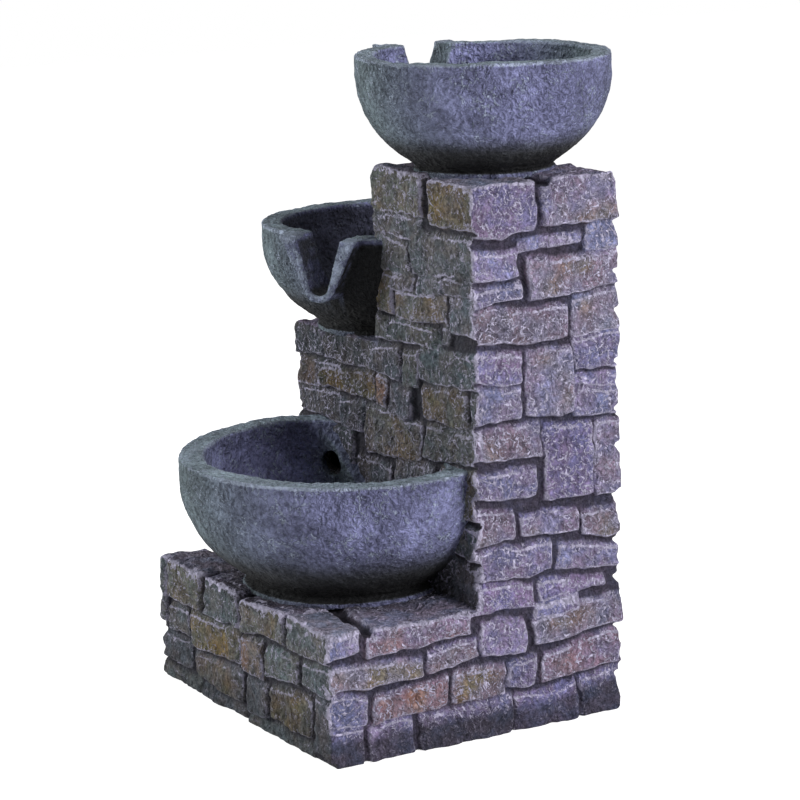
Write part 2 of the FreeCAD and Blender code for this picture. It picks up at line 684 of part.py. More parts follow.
def rubber_feet():
    places = mirrored_places(BASE_WIDTH / 2 - PAD_INSET_X, BASE_DEPTH / 2 - PAD_INSET_Y)
    return Part.makeCompound([upright(x, y, 0, PAD_THICKNESS, PAD_DIAMETER) for x, y in places])


def door_gasket():
    rear = y_back - DOOR_FLANGE
    front = rear - GASKET_THICKNESS
    frame = door_frame(GASKET_WIDTH, front, rear)
    return frame.cut(door_frame(0, front - OVERCUT, rear + OVERCUT))


def rear_door():
    flange_front = y_back - DOOR_FLANGE
    skirt_front = flange_front - GASKET_THICKNESS - DOOR_SKIRT
    plate = door_frame(DOOR_LAP - DOOR_PLAY, flange_front, y_back)
    skirt = door_frame(-DOOR_PLAY, skirt_front, flange_front)
    skirt = skirt.cut(door_frame(-DOOR_PLAY - DOOR_SKIRT_WALL, skirt_front - OVERCUT, flange_front))
    middle = V(door_x, y_back, door_middle)
    neck = backward(middle, y_back, y_back + PULL_LENGTH / 2, PULL_NECK)
    knob = backward(middle, y_back + PULL_LENGTH / 2, y_back + PULL_LENGTH, PULL_DIAMETER)
    return plate.fuse([skirt, neck, knob]).removeSplitter()


def cable_grommet():
    place = grommet_place()
    inner_end = inner_back - GROMMET_LIP
    lip_end = y_back + GROMMET_LIP
    collar_end = lip_end + GROMMET_COLLAR
    sleeve = backward(place, inner_end, collar_end, GROMMET_DIAMETER)
    outer_lip = backward(place, y_back, lip_end, GROMMET_FLANGE)
    inner_lip = backward(place, inner_end, inner_back, GROMMET_FLANGE)
    relief = backward(place, inner_end - OVERCUT, lip_end, GROMMET_RELIEF)
    bore = backward(place, lip_end - OVERCUT, collar_end + OVERCUT, LEAD_DIAMETER)
    return sleeve.fuse([outer_lip, inner_lip]).cut([relief, bore]).removeSplitter()


def outlet_fitting():
    flange_bottom = fitting_seat + WASHER_THICKNESS
    flange_top = flange_bottom + FLANGE_THICKNESS
    tail_bottom = stem_bottom - TAIL_LENGTH
    flange = upright(pump_x, spigot_y, flange_bottom, flange_top, FLANGE_DIAMETER)
    stem = upright(pump_x, spigot_y, stem_bottom, flange_bottom, STEM_DIAMETER)
    tail = upright(pump_x, spigot_y, tail_bottom, stem_bottom, TAIL_DIAMETER)
    bore = upright(pump_x, spigot_y, tail_bottom - OVERCUT, flange_top + OVERCUT, WATER_BORE)
    return flange.fuse([stem, tail]).cut(bore).removeSplitter()


def fitting_washers():
    rings = []
    for bottom in (fitting_seat, nut_top):
        top = bottom + WASHER_THICKNESS
        ring = upright(pump_x, spigot_y, bottom, top, WASHER_DIAMETER)
        hole = upright(pump_x, spigot_y, bottom - OVERCUT, top + OVERCUT, STEM_DIAMETER + 2 * STEM_PLAY)
        rings.append(ring.cut(hole))
    return Part.makeCompound(rings)


def fitting_nut():
    corner = NUT_FLATS / math.sqrt(3)
    bottom = nut_top - NUT_HEIGHT
    turns = [math.radians(60 * i) for i in range(7)]
    points = [V(pump_x + corner * math.cos(t), spigot_y + corner * math.sin(t), bottom) for t in turns]
    nut = Part.Face(Part.makePolygon(points)).extrude(V(0, 0, NUT_HEIGHT))
    bore = STEM_DIAMETER + 2 * THREAD_PLAY
    return nut.cut(upright(pump_x, spigot_y, bottom - OVERCUT, nut_top + OVERCUT, bore))


def riser_hose():
    hose = upright(pump_x, spigot_y, hose_bottom, hose_top, 2 * hose_outer)
    return hose.cut(upright(pump_x, spigot_y, hose_bottom - OVERCUT, hose_top + OVERCUT, 2 * hose_radius))


def hose_clips():
    clips = []
    inside = hose_outer + CLIP_PLAY
    outside = inside + CLIP_WALL
    gap = CLIP_GAP / 2
    for bottom in (hose_bottom + CLIP_FROM_END, hose_top - CLIP_FROM_END - CLIP_WIDTH):
        top = bottom + CLIP_WIDTH
        ring = upright(pump_x, spigot_y, bottom, top, 2 * outside)
        for side in (-1, 1):
            near = pump_x + side * gap
            far = near + side * CLIP_WALL
            ear = block(
                min(near, far), max(near, far), spigot_y + inside, spigot_y + outside + CLIP_EAR, bottom, top
            )
            ring = ring.fuse(ear)
        ring = ring.cut(upright(pump_x, spigot_y, bottom - OVERCUT, top + OVERCUT, 2 * inside))
        slot = block(
            pump_x - gap, pump_x + gap, spigot_y, spigot_y + 2 * outside, bottom - OVERCUT, top + OVERCUT
        )
        clips.append(ring.cut(slot).removeSplitter())
    return Part.makeCompound(clips)


def cup_places():
    middle_y_of_motor = (motor_rear + motor_front) / 2
    return [
        (pump_x + sx * CUP_SPREAD_X / 2, middle_y_of_motor + sy * CUP_SPREAD_Y / 2)
        for sx in (-1, 1) for sy in (-1, 1)
    ]


def housing_room():
    """Space inside the housing that the motor and its potting fill, open at the rear."""
    half = HOUSING_WIDTH / 2 - HOUSING_WALL
    room = block(
        pump_x - half, pump_x + half, motor_rear, motor_front - HOUSING_WALL,
        pump_base + HOUSING_FLOOR, pump_base + HOUSING_HEIGHT - HOUSING_WALL,
    )
    return room.cut(rod(motor_front - WELL_DEPTH - WELL_WALL, motor_front, 2 * well_outer))


def pump_housing():
    half = HOUSING_WIDTH / 2
    top = pump_base + HOUSING_HEIGHT
    shell = block(pump_x - half, pump_x + half, motor_rear, motor_front, pump_base, top)
    long_edges = [e for e in shell.Edges if abs(e.Vertexes[0].Y - e.Vertexes[1].Y) > HOUSING_ROUND]
    shell = shell.makeFillet(HOUSING_ROUND, long_edges)
    inlet_y = (motor_rear + motor_front) / 2
    inlet = upright(pump_x - INLET_OFFSET, inlet_y, top, top + INLET_HEIGHT, INLET_DIAMETER)
    bore = upright(pump_x - INLET_OFFSET, inlet_y, top, top + INLET_HEIGHT + OVERCUT, LEAD_DIAMETER)
    shell = shell.cut(housing_room()).fuse(inlet.cut(bore))
    sockets = [
        upright(x, y, pump_base - OVERCUT, pump_base + CUP_PEG, CUP_NECK) for x, y in cup_places()
    ]
    return shell.cut([rod(motor_front - WELL_DEPTH, motor_front + OVERCUT, WELL_DIAMETER)] + sockets)


def core_sizes():
    """Half gap between the core's legs, its yoke's height range and its range along Y."""
    half_gap = well_outer + CORE_GAP
    yoke_bottom = pump_base + HOUSING_FLOOR + WINDING_CLEARANCE + WINDING_THICKNESS + BOBBIN_WALL
    core_front = motor_front - CORE_BEHIND_FRONT
    return half_gap, yoke_bottom, yoke_bottom + CORE_WIDTH, core_front - CORE_DEPTH, core_front


def stator_core():
    half_gap, yoke_bottom, yoke_top, rear, front = core_sizes()
    outer = half_gap + CORE_WIDTH
    core = block(pump_x - outer, pump_x + outer, rear, front, yoke_bottom, rotor_z + CORE_ABOVE_AXIS)
    window = block(
        pump_x - half_gap, pump_x + half_gap, rear - OVERCUT, front + OVERCUT,
        yoke_top, rotor_z + CORE_ABOVE_AXIS + OVERCUT,
    )
    return core.cut(window)


def around_yoke(half_length, grow):
    """Block along the core's yoke, larger than its section by grow on each side."""
    _, yoke_bottom, yoke_top, rear, front = core_sizes()
    return block(
        pump_x - half_length, pump_x + half_length, rear - grow, front + grow,
        yoke_bottom - grow, yoke_top + grow,
    )


def coil_bobbin():
    half_gap = core_sizes()[0]
    flange = BOBBIN_WALL + WINDING_THICKNESS + BOBBIN_LAP
    spool = around_yoke(half_gap, flange)
    spool = spool.cut(around_yoke(half_gap - BOBBIN_WALL, flange + OVERCUT))
    spool = spool.fuse(around_yoke(half_gap, BOBBIN_WALL)).removeSplitter()
    return spool.cut(around_yoke(half_gap + OVERCUT, 0))


def stator_winding():
    half_length = core_sizes()[0] - BOBBIN_WALL
    winding = around_yoke(half_length, BOBBIN_WALL + WINDING_THICKNESS)
    return winding.cut(around_yoke(half_length + OVERCUT, BOBBIN_WALL))


def pump_potting():
    motor = stator_core().fuse([coil_bobbin(), stator_winding()])
    return housing_room().cut(motor)


def rotor_bore():
    return rod(motor_rear, cover_front, SHAFT_DIAMETER + 2 * RUNNING_PLAY)


def rotor_magnet():
    return rod(magnet_rear, magnet_front, MAGNET_DIAMETER).cut(rotor_bore())


def impeller():
    disc_rear = motor_front + IMPELLER_DISC_AT
    disc_front = disc_rear + IMPELLER_DISC
    blade_front = volute_front - VOLUTE_FRONT - BLADE_FRONT_GAP
    wheel = [rod(disc_rear, disc_front, IMPELLER_DIAMETER)]
    blade = block(
        pump_x, pump_x + IMPELLER_DIAMETER / 2, disc_front, blade_front,
        rotor_z - BLADE_THICKNESS / 2, rotor_z + BLADE_THICKNESS / 2,
    )
    blade = blade.common(rod(disc_front, blade_front, IMPELLER_DIAMETER))
    for i in range(BLADE_COUNT):
        wheel.append(about_rotor(blade, 360 / BLADE_COUNT * i))
    hub = rod(magnet_front, hub_front, IMPELLER_HUB)
    return hub.fuse(wheel).cut(rotor_bore()).removeSplitter()


def rotor_shaft():
    return rod(motor_front - WELL_DEPTH, volute_front, SHAFT_DIAMETER)


def shaft_bushes():
    rear_end = motor_front - WELL_DEPTH
    rear = rod(rear_end, rear_end + BUSH_THICKNESS, WELL_DIAMETER)
    front = rod(volute_front - FRONT_BUSH_THICKNESS, volute_front, FRONT_BUSH_DIAMETER)
    return Part.makeCompound([rear.cut(rotor_shaft()), front.cut(rotor_shaft())])


def seal_circle():
    """Radius of the sealing ring's middle line, half way through the casing's wall."""
    return (VOLUTE_DIAMETER + VOLUTE_CHAMBER) / 4


def volute_seal():
    section = SEAL_SECTION / 2
    return Part.makeTorus(seal_circle(), section, V(pump_x, motor_front + section, rotor_z), V(0, 1, 0))


def volute_cover():
    wall_rear = volute_front - VOLUTE_FRONT
    casing = rod(motor_front, volute_front, VOLUTE_DIAMETER)
    spigot_bottom = rotor_z + VOLUTE_CHAMBER / 2
    spigot_top = rotor_z + VOLUTE_DIAMETER / 2 + SPIGOT_LENGTH
    spigot = upright(pump_x, spigot_y, spigot_bottom, spigot_top, TAIL_DIAMETER)
    register_outer = VOLUTE_DIAMETER - 2 * COVER_WALL - 2 * COVER_PLAY
    register = rod(volute_front, volute_front + REGISTER_DEPTH, register_outer)
    register = register.cut(rod(
        volute_front - OVERCUT, volute_front + REGISTER_DEPTH + OVERCUT, register_outer - 2 * REGISTER_WALL
    ))
    casing = casing.fuse([spigot, register])
    groove_front = motor_front + SEAL_SECTION
    groove_width = SEAL_SECTION + 2 * SEAL_PLAY
    groove = rod(motor_front - OVERCUT, groove_front, 2 * seal_circle() + groove_width)
    groove = groove.cut(rod(motor_front - OVERCUT, groove_front, 2 * seal_circle() - groove_width))
    casing = casing.cut([
        rod(motor_front - OVERCUT, wall_rear, VOLUTE_CHAMBER),
        rod(wall_rear - OVERCUT, volute_front + OVERCUT, EYE_DIAMETER),
        upright(pump_x, spigot_y, rotor_z + VOLUTE_CHAMBER / 4, spigot_top + OVERCUT, WATER_BORE),
        groove,
    ])
    arm = block(
        pump_x - SPIDER_ARM / 2, pump_x + SPIDER_ARM / 2, wall_rear, volute_front,
        rotor_z, rotor_z + (EYE_DIAMETER + VOLUTE_CHAMBER) / 4,
    )
    spider = [about_rotor(arm, 360 / SPIDER_ARMS * i) for i in range(SPIDER_ARMS)]
    hub_rear = volute_front - FRONT_BUSH_THICKNESS
    spider.append(rod(hub_rear, volute_front, SPIDER_HUB))
    bush_hole = rod(hub_rear - OVERCUT, volute_front + OVERCUT, FRONT_BUSH_DIAMETER)
    return casing.fuse(spider).cut(bush_hole).removeSplitter()


def windows(y0, y1):
    """Fan-shaped windows shared by the strainer cap and the dial."""
    fan = Part.makeCylinder(
        WINDOW_OUTER, y1 - y0, V(pump_x, y0, rotor_z), V(0, 1, 0), WINDOW_SPAN
    ).cut(rod(y0 - OVERCUT, y1 + OVERCUT, 2 * WINDOW_INNER))
    return [about_rotor(fan, 360 / WINDOW_COUNT * i) for i in range(WINDOW_COUNT)]


def intake_cover():
    cap = rod(volute_front, cover_front, VOLUTE_DIAMETER)
    cap = cap.cut(rod(volute_front - OVERCUT, cover_front - COVER_WALL, VOLUTE_DIAMETER - 2 * COVER_WALL))
    cap = cap.cut(windows(cover_front - COVER_WALL - OVERCUT, cover_front + OVERCUT))
    head_rear = dial_front + DIAL_PLAY
    stud = rod(cover_front, head_rear, STUD_DIAMETER)
    head = rod(head_rear, head_rear + STUD_HEAD_HEIGHT, STUD_HEAD)
    return cap.fuse([stud, head]).removeSplitter()


def filter_sponge():
    diameter = VOLUTE_DIAMETER - 2 * COVER_WALL - 2 * SPONGE_PLAY
    return rod(volute_front + REGISTER_DEPTH, cover_front - COVER_WALL, diameter)


def flow_dial():
    disc = rod(dial_rear, dial_front, DIAL_DIAMETER)
    tab_bottom = rotor_z + WINDOW_OUTER
    tab = block(
        pump_x - DIAL_TAB_WIDTH / 2, pump_x + DIAL_TAB_WIDTH / 2, dial_rear, dial_front,
        tab_bottom, rotor_z + DIAL_DIAMETER / 2 + DIAL_TAB_REACH,
    )
    dial = disc.fuse(tab).cut(windows(dial_rear - OVERCUT, dial_front + OVERCUT))
    bore = rod(dial_rear - OVERCUT, dial_front + OVERCUT, STUD_DIAMETER + 2 * RUNNING_PLAY)
    return dial.cut(bore).removeSplitter()


def suction_cups():
    cups = []
    for x, y in cup_places():
        skirt_height = CUP_HEIGHT - CUP_WALL
        skirt = Part.makeCone(CUP_DIAMETER / 2, CUP_NECK / 2, skirt_height, V(x, y, chamber_top))
        hollow = Part.makeCone(
            CUP_DIAMETER / 2 - CUP_WALL, CUP_NECK / 2 - CUP_WALL, skirt_height - CUP_WALL,
            V(x, y, chamber_top),
        )
        neck = upright(x, y, chamber_top + skirt_height, pump_base + CUP_PEG, CUP_NECK)
        cups.append(skirt.cut(hollow).fuse(neck).removeSplitter())
    return Part.makeCompound(cups)


PIECES = [
    stone_body, lower_bowl, middle_bowl, top_bowl, chamber_floor, bottom_plate, plate_screws, rubber_feet,
    rear_door, door_gasket, cable_grommet, outlet_fitting, fitting_washers, fitting_nut, riser_hose,
    hose_clips, pump_housing, stator_core, coil_bobbin, stator_winding, pump_potting, rotor_magnet, impeller,
    rotor_shaft, shaft_bushes, volute_cover, volute_seal, intake_cover, filter_sponge, flow_dial,
    suction_cups,
]


def main():
    os.makedirs("parts", exist_ok=True)
    for piece in PIECES:
        shape = piece()
        if not shape.isValid() or not shape.Solids:
            raise ValueError(piece.__name__ + " is not a valid solid")
        shape.translate(to_origin)
        shape.exportStep("parts/" + piece.__name__ + ".step")
        print(piece.__name__, len(shape.Solids), round(shape.Volume))
    print("origin moved by", to_origin)


main()
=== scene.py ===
"""Looks of the tabletop fountain: a dry-stone casting, three bowls, the small parts and the stage.

The shapes are drawn in millimetres about the middle of the casting and handed out in metres in
the part's frame.
"""
import functools
import json
import math
from typing import NamedTuple

import bmesh
import bpy
import numpy as np
from bpy.props import FloatProperty, FloatVectorProperty, PointerProperty
from mathutils import Matrix, Vector


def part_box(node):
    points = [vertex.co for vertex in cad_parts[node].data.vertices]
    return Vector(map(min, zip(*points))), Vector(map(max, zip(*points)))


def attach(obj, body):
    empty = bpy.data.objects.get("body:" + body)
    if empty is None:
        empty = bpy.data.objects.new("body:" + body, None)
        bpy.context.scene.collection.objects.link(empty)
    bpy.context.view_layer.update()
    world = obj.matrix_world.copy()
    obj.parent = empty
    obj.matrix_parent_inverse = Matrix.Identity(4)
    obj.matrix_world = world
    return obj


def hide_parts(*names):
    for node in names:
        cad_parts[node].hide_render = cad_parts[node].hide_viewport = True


bl_info = {
    "name": "Tabletop Fountain",
    "version": (1, 0, 0),
    "blender": (4, 5, 0),
    "location": "3D View > Sidebar > Fountain",
    "description": "Dresses the packed tabletop fountain in cast stone and sets its studio stage",
    "category": "Object",
}

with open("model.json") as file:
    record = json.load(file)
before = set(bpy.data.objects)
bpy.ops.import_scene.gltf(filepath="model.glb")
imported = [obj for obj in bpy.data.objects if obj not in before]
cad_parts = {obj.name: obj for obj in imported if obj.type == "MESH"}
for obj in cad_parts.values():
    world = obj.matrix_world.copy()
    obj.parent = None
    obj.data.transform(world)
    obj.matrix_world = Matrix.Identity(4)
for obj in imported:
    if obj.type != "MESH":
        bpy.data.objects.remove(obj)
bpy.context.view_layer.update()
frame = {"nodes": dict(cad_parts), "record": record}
BODY_LOW, BODY_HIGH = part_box("stone_body")
MIDDLE = np.array([500 * (BODY_LOW.x + BODY_HIGH.x), 500 * (BODY_LOW.y + BODY_HIGH.y), 0.0])
MM = 0.001
FIXED = "fountain"

# Casting, millimetres about its middle.
X_LEFT, X_RIGHT, X_SPLIT = -90.0, 90.0, -6.0
Y_FRONT, Y_BACK, Y_FACE = -82.5, 82.5, 0.0
Z_EDGE, Z_BASE, Z_MIDDLE, Z_TALL = 0.3, 65.0, 180.0, 270.0
WALL, CORNER_ROUND, CUT_PAST = 7.0, 1.6, 2.0
LEDGE_WIDTH, LEDGE_HEIGHT = 4.0, 6.0
POST_SIZE, POST_LOW, POST_HIGH = 16.0, 6.5, 24.5
DOOR_X, DOOR_Z = 42.0, 171.0
DOOR_WIDTH, DOOR_HEIGHT, DOOR_LAP, DOOR_RECESS = 56.0, 62.0, 4.0, 3.5
DOOR_FLANGE, DOOR_PLAY, DOOR_SKIRT, DOOR_SKIRT_WALL, DOOR_EDGE = 2.5, 0.4, 6.0, 2.0, 0.6
PAD_THICKNESS, PAD_X, PAD_Y, SCREW_X, SCREW_Y = 3.5, 56.0, 52.5, 75.0, 67.5
GROMMET_X, GROMMET_Z, GROMMET_RADIUS, GROMMET_SEAT = -48.0, 150.0, 5.0, 9.5
FITTING_X, FITTING_Y, FITTING_RADIUS, FITTING_SINK = 40.0, 38.0, 5.2, 5.0
RETURN_X, RETURN_Z, RETURN_RADIUS, RETURN_AIM = -50.9, 111.0, 6.2, 140.0
RETURN_FROM, RETURN_TO = -12.0, 16.0
COURSE_HEIGHT, STONE_LENGTH, COURSE_SWAY, STONE_SWAY = 22.5, 40.0, 0.12, 0.2
BED_BEAT, HEAD_BEAT, ROW_BEAT, PIGMENT_RULE = 2.1, 1.7, 2.6, "o  p O"
JOINT_WIDTH, BED_WIDTH, FLAT_MARGIN = 3.6, 5.0, 2.0
CORNER_BULGE, CORNER_REACH = 2.4, 30.0
STONE_TRIANGLES = 190000

# Stones as read off the photograph: left, right, low edge at both ends, upper edge at both ends
# and, where there is one, a mark: a stain, and d for painted shade low on the stone.
RIGHT_STONES = [
    (-8, 36, 246, 245, 271, 272), (40, 82, 247, 247, 272, 272, "o"), (-8, 26, 226, 224, 238, 236),
    (27, 62, 235, 239, 239, 242), (64, 83, 234, 233, 244, 245), (31, 84, 213, 216, 231, 231, "o"),
    (-8, 27, 212, 215, 220, 220), (-8, 54, 194, 193, 210, 207, "o"),
    (57, 84, 193, 192, 210, 212, "o"), (-8, 27, 176, 174, 189, 188), (-8, 27, 157, 155, 171, 170),
    (30, 55, 155, 154, 188, 187, "o"), (57, 83, 175, 174, 191, 190), (56, 83, 167, 166, 171, 171),
    (56, 83, 152, 152, 164, 164), (-8, 37, 139, 135, 151, 150, "o"), (-8, 34, 119, 117, 130, 129),
    (39, 67, 113, 114, 149, 147), (69, 83, 112, 111, 147, 147, "o"),
    (-8, 22, 94, 96, 112, 110, "o"), (26, 58, 97, 96, 106, 106, "o"),
    (61, 83, 93, 90, 104, 104, "o"), (-8, 42, 77, 77, 90, 92), (46, 81, 76, 74, 90, 83),
    (-8, 33, 63, 61, 75, 72), (36, 73, 63, 66, 72, 69), (33, 58, 55, 56, 60, 62),
    (31, 81, 42, 45, 53, 60, "o"), (2, 27, 40, 39, 57, 54), (37, 83, 22, 24, 35, 41, "p"),
    (16, 33, 22, 23, 33, 36), (-15, 14, 21, 19, 35, 34, "O"), (20, 56, 0, 0, 17, 19, "d"),
    (59, 83, 0, 0, 18, 21, "d"), (-85, -66, 53, 56, 65, 65), (-61, -3, 51, 54, 65, 66, "p"),
    (-82, -32, 36, 38, 48, 46, "O"), (-29, 0, 38, 41, 48, 50, "o"), (-82, -62, 20, 19, 34, 32),
    (-58, -18, 18, 21, 31, 34, "P"), (-60, -37, 0, 0, 16, 17, "d"), (-33, 18, 0, 0, 18, 17, "d"),
    (-82, -63, 0, 0, 18, 17, "d"),
]
COLUMN_STONES = [
    (-14, 43, 247, 249, 270, 271, "o"), (50, 92, 246, 249, 271, 270, "O"),
    (-14, 40, 237, 239, 246, 247), (-14, 28, 220, 220, 235, 235), (32, 94, 221, 226, 240, 244),
    (15, 33, 211, 213, 218, 219), (37, 61, 211, 215, 220, 222), (64, 92, 214, 217, 222, 224),
    (17, 63, 196, 201, 210, 214, "o"), (-14, 14, 197, 198, 217, 217, "O"),
    (68, 94, 197, 196, 213, 215), (-14, 56, 182, 187, 193, 195), (59, 66, 190, 191, 197, 198),
    (-9, 18, 168, 164, 178, 181), (20, 36, 163, 164, 179, 181), (38, 90, 168, 174, 184, 189),
    (40, 83, 150, 152, 164, 169, "o"), (85, 92, 151, 151, 169, 170), (6, 30, 146, 148, 161, 161),
    (-7, 3, 149, 148, 165, 163, "p"), (-18, 36, 122, 127, 146, 146, "o"),
    (40, 90, 129, 137, 146, 151), (-87, -58, 162, 165, 184, 184), (-56, -11, 164, 167, 184, 184),
    (-87, -69, 145, 147, 160, 161, "p"), (-67, -39, 157, 159, 161, 162),
    (-64, -10, 149, 150, 157, 164, "O"), (-87, -43, 132, 131, 143, 147),
    (-41, -20, 131, 132, 144, 146), (-87, -30, 112, 112, 127, 128), (-27, 8, 104, 105, 118, 119),
    (12, 50, 107, 108, 123, 125), (54, 90, 107, 108, 126, 132, "o"), (-87, -40, 94, 93, 108, 108),
    (-36, 4, 86, 86, 100, 100, "o"), (8, 44, 86, 87, 102, 103), (48, 90, 88, 88, 103, 103),
    (-87, -20, 66, 66, 89, 82), (-16, 30, 66, 66, 82, 82), (34, 90, 66, 66, 82, 84),
]
BASE_STONES = [
    (-95, -86, 30, 30, 62, 63), (-83, -45, 44, 45, 64, 64, "o"), (-41, -3, 45, 46, 64, 64),
    (1, 44, 47, 49, 63, 63, "o"), (48, 92, 50, 50, 63, 63), (-82, -62, 27, 28, 40, 41),
    (-58, -3, 25, 28, 41, 42, "O"), (1, 21, 27, 26, 43, 44, "p"), (25, 57, 29, 32, 43, 46),
    (62, 92, 34, 36, 46, 47), (-92, -60, 10, 10, 23, 24), (-56, -2, 8, 8, 21, 23, "o"),
    (2, 26, 7, 8, 22, 23), (30, 70, 9, 10, 25, 29, "o"), (74, 92, 3, 3, 31, 32),
    (-92, -50, -2, -2, 5, 5), (-46, 0, -2, -2, 4, 4), (4, 70, -2, -2, 4, 5),
]
BASE_TOP_STONES = [
    (-95, -44, -88, -88, -56, -54), (-41, -3, -88, -88, -56, -54), (1, 44, -88, -88, -55, -56),
    (48, 95, -88, -88, -58, -64), (58, 95, -54, -60, 6, 6), (-95, 54, -51, -51, 6, 6),
]
SHELF_STONES = [
    (-95, -58, -6, -6, 40, 42), (-54, -10, -6, -6, 34, 30), (-95, -50, 46, 46, 90, 90),
    (-46, -8, 38, 36, 90, 90),
]
CROWN_STONES = [
    (-12, 46, -6, -6, 44, 40), (50, 96, -6, -6, 36, 38), (-12, 40, 48, 46, 90, 90),
    (44, 96, 42, 43, 90, 90),
]

# Camera of the photograph, metres and degrees.
CAMERA_EYE = (1.2427, -0.6957, 0.4688)
CAMERA_TURN, CAMERA_DROP, CAMERA_ROLL = 60.15, 12.57, -1.331
CAMERA_LENS, CAMERA_SENSOR = 130.84, 36.0
CAMERA_NEAR, CAMERA_FAR = 0.05, 20.0

# Floor and lamps, metres.
FLOOR_HALF, FLOOR_GLOW = 3.0, (0.84, 0.84, 0.84)
LIGHT_TARGET = (0.0, 0.0, 0.15)
KEY_PLACE, KEY_SIZE, KEY_COLOUR = (1.42, 0.5, 0.8), 0.8, (1.0, 0.985, 1.0)
FILL_PLACE, FILL_SIZE, FILL_COLOUR = (-0.95, -1.25, 0.65), 0.9, (0.97, 1.0, 1.0)


def srgb(red, green, blue):
    """Linear colour of a screen colour given from 0 to 255."""
    return tuple(((c / 255 + 0.055) / 1.055) ** 2.4 if c > 10 else c / 255 / 12.92
                 for c in (red, green, blue))


def number(label, note, default, **limits):
    """Number among the add-on's settings."""
    return FloatProperty(name=label, description=note, default=default, **limits)


def paint(label, note, *screen):
    """Colour among the add-on's settings, given from 0 to 255."""
    return FloatVectorProperty(name=label, description=note, subtype="COLOR",
                               default=srgb(*screen))


class FOUNTAIN_PG_stone(bpy.types.PropertyGroup):
    """Sizes and colours of the dry-stone casting."""
    pitch: number("Lattice pitch", "Spacing of the lattice that the casting is meshed on, mm", 1.0,
                  min=0.7, max=3.0)
    joint: number("Joint depth", "Depth of the joints between stones, mm", 2.8)
    bevel: number("Upper slope", "Height of the slope above a stone's face, mm", 3.6)
    spread: number("Side spread", "How far a stone reaches past its measured sides, mm", 1.1)
    hewn: number("Hewn relief", "Height of the chipped relief on each stone, mm", 1.35)
    # Right side and front colours are painted light: violet where the light from the right falls,
    # grey-green on the sides out of it.
    violet: paint("Right side", "Stone colour on the right side", 157, 151, 194)
    green: paint("Front", "Stone colour on the front", 119, 124, 128)
    dark: paint("Tops", "Stone colour on the tops", 146, 144, 170)
    raw: paint("Inside", "Unpainted colour of the hollow inside", 118, 114, 108)
    brush: paint("Dry brush", "Pale paint on the raised edges", 212, 207, 234)
    grime: paint("Joint colour", "Dark wash in the joints", 54, 51, 62)
    ochre: paint("Ochre stain", "Stain on some stones", 154, 136, 86)
    pink: paint("Rust stain", "Reddish stain on some stones", 188, 145, 120)


class FOUNTAIN_PG_bowl(bpy.types.PropertyGroup):
    """Sizes and colours of the bowls."""
    pitch: number("Lattice pitch", "Spacing of the lattice that a bowl is meshed on, mm", 0.92,
                  min=0.6, max=3.0)
    grain: number("Grain height", "Height of the stippled grain, mm", 0.2)
    # Slate and violet slate are painted light: the bowls turn violet on the faces turned to the
    # right.
    slate: paint("Slate", "Bowl colour towards the left", 125, 140, 148)
    violet: paint("Violet slate", "Bowl colour towards the right", 140, 143, 187)
    # The dark colour is that of the painted shade and wash at the foot and inside the bowls.
    dark: paint("Dark wash", "Bowl colour at the foot and inside", 94, 97, 104)
    brush: paint("Dry brush", "Pale paint on the grain and the rims", 178, 190, 212)


class FOUNTAIN_PG_stage(bpy.types.PropertyGroup):
    """Light and floor of the stage."""
    key: number("Key light", "Power of the key light from the right", 21.5, unit="POWER")
    fill: number("Fill light", "Power of the fill light from the front left", 17.0, unit="POWER")
    ambient: number("Ambient", "Strength of the light from all sides", 0.2)
    floor: FloatVectorProperty(name="Floor", description="Colour of the floor", subtype="COLOR",
                               default=(0.85, 0.85, 0.85))


def smooth(t):
    """Soft step from 0 to 1."""
    t = np.clip(t, 0.0, 1.0)
    return t * t * (3 - 2 * t)


def soft_max(a, b, blend):
    """The larger of two fields, rounded where they meet."""
    return np.maximum(a, b) + np.maximum(blend - np.abs(a - b), 0) ** 2 / (4 * blend)


def all_of(*fields):
    """Field that is negative only where all the given ones are."""
    return functools.reduce(np.maximum, fields)


def any_of(*fields):
    """Field that is negative where any of the given ones is."""
    return functools.reduce(np.minimum, fields)


def slab(place, low, high):
    """Distance to the nearer of two planes, negative between them."""
    return np.maximum(low - place, place - high)


LATTICE_SEED, CELLS, SEED_SHIFT = 20, 256, 17.31
_shuffle = np.random.default_rng(LATTICE_SEED)
TURNS = np.concatenate([_shuffle.permutation(CELLS)] * 3).astype(np.int32)
VALUES = _shuffle.uniform(-1, 1, CELLS).astype(np.float32)


def noise(points, size, seed):
    """Smooth noise from -1 to 1 with blobs about size across, at an array of points (..., 3)."""
    place = points / size + SEED_SHIFT * seed
    cell = np.floor(place).astype(np.int32)
    part = (place - cell).astype(np.float32)
    part = part * part * (3 - 2 * part)
    cell &= CELLS - 1
    total = np.zeros(points.shape[:-1], np.float32)
    for corner in range(8):
        step = (corner & 1, corner >> 1 & 1, corner >> 2)
        weight = np.ones_like(total)
        for axis in range(3):
            weight = weight * (part[..., axis] if step[axis] else 1 - part[..., axis])
        key = TURNS[cell[..., 0] + step[0]]
        key = TURNS[key + cell[..., 1] + step[1]]
        total += weight * VALUES[TURNS[key + cell[..., 2] + step[2]] & CELLS - 1]
    return total


def layered(base, points, seed, *waves):
    """A base with noises on it, each given by height, size and whether it is folded at zero."""
    for n, (height, size, folded) in enumerate(waves):
        wave = noise(points, size, seed + n)
        base = base + height * (np.abs(wave) if folded else wave)
    return base


def blurred(values, reach):
    """Box blur of a map, twice along each axis."""
    for axis in (0, 1, 0, 1):
        pad = [(0, 0), (0, 0)]
        pad[axis] = (reach + 1, reach)
        run = np.cumsum(np.pad(values, pad, mode="edge"), axis=axis)
        span = 2 * reach + 1
        upper = np.take(run, range(span, run.shape[axis]), axis=axis)
        lower = np.take(run, range(0, run.shape[axis] - span), axis=axis)
        values = (upper - lower) / span
    return values


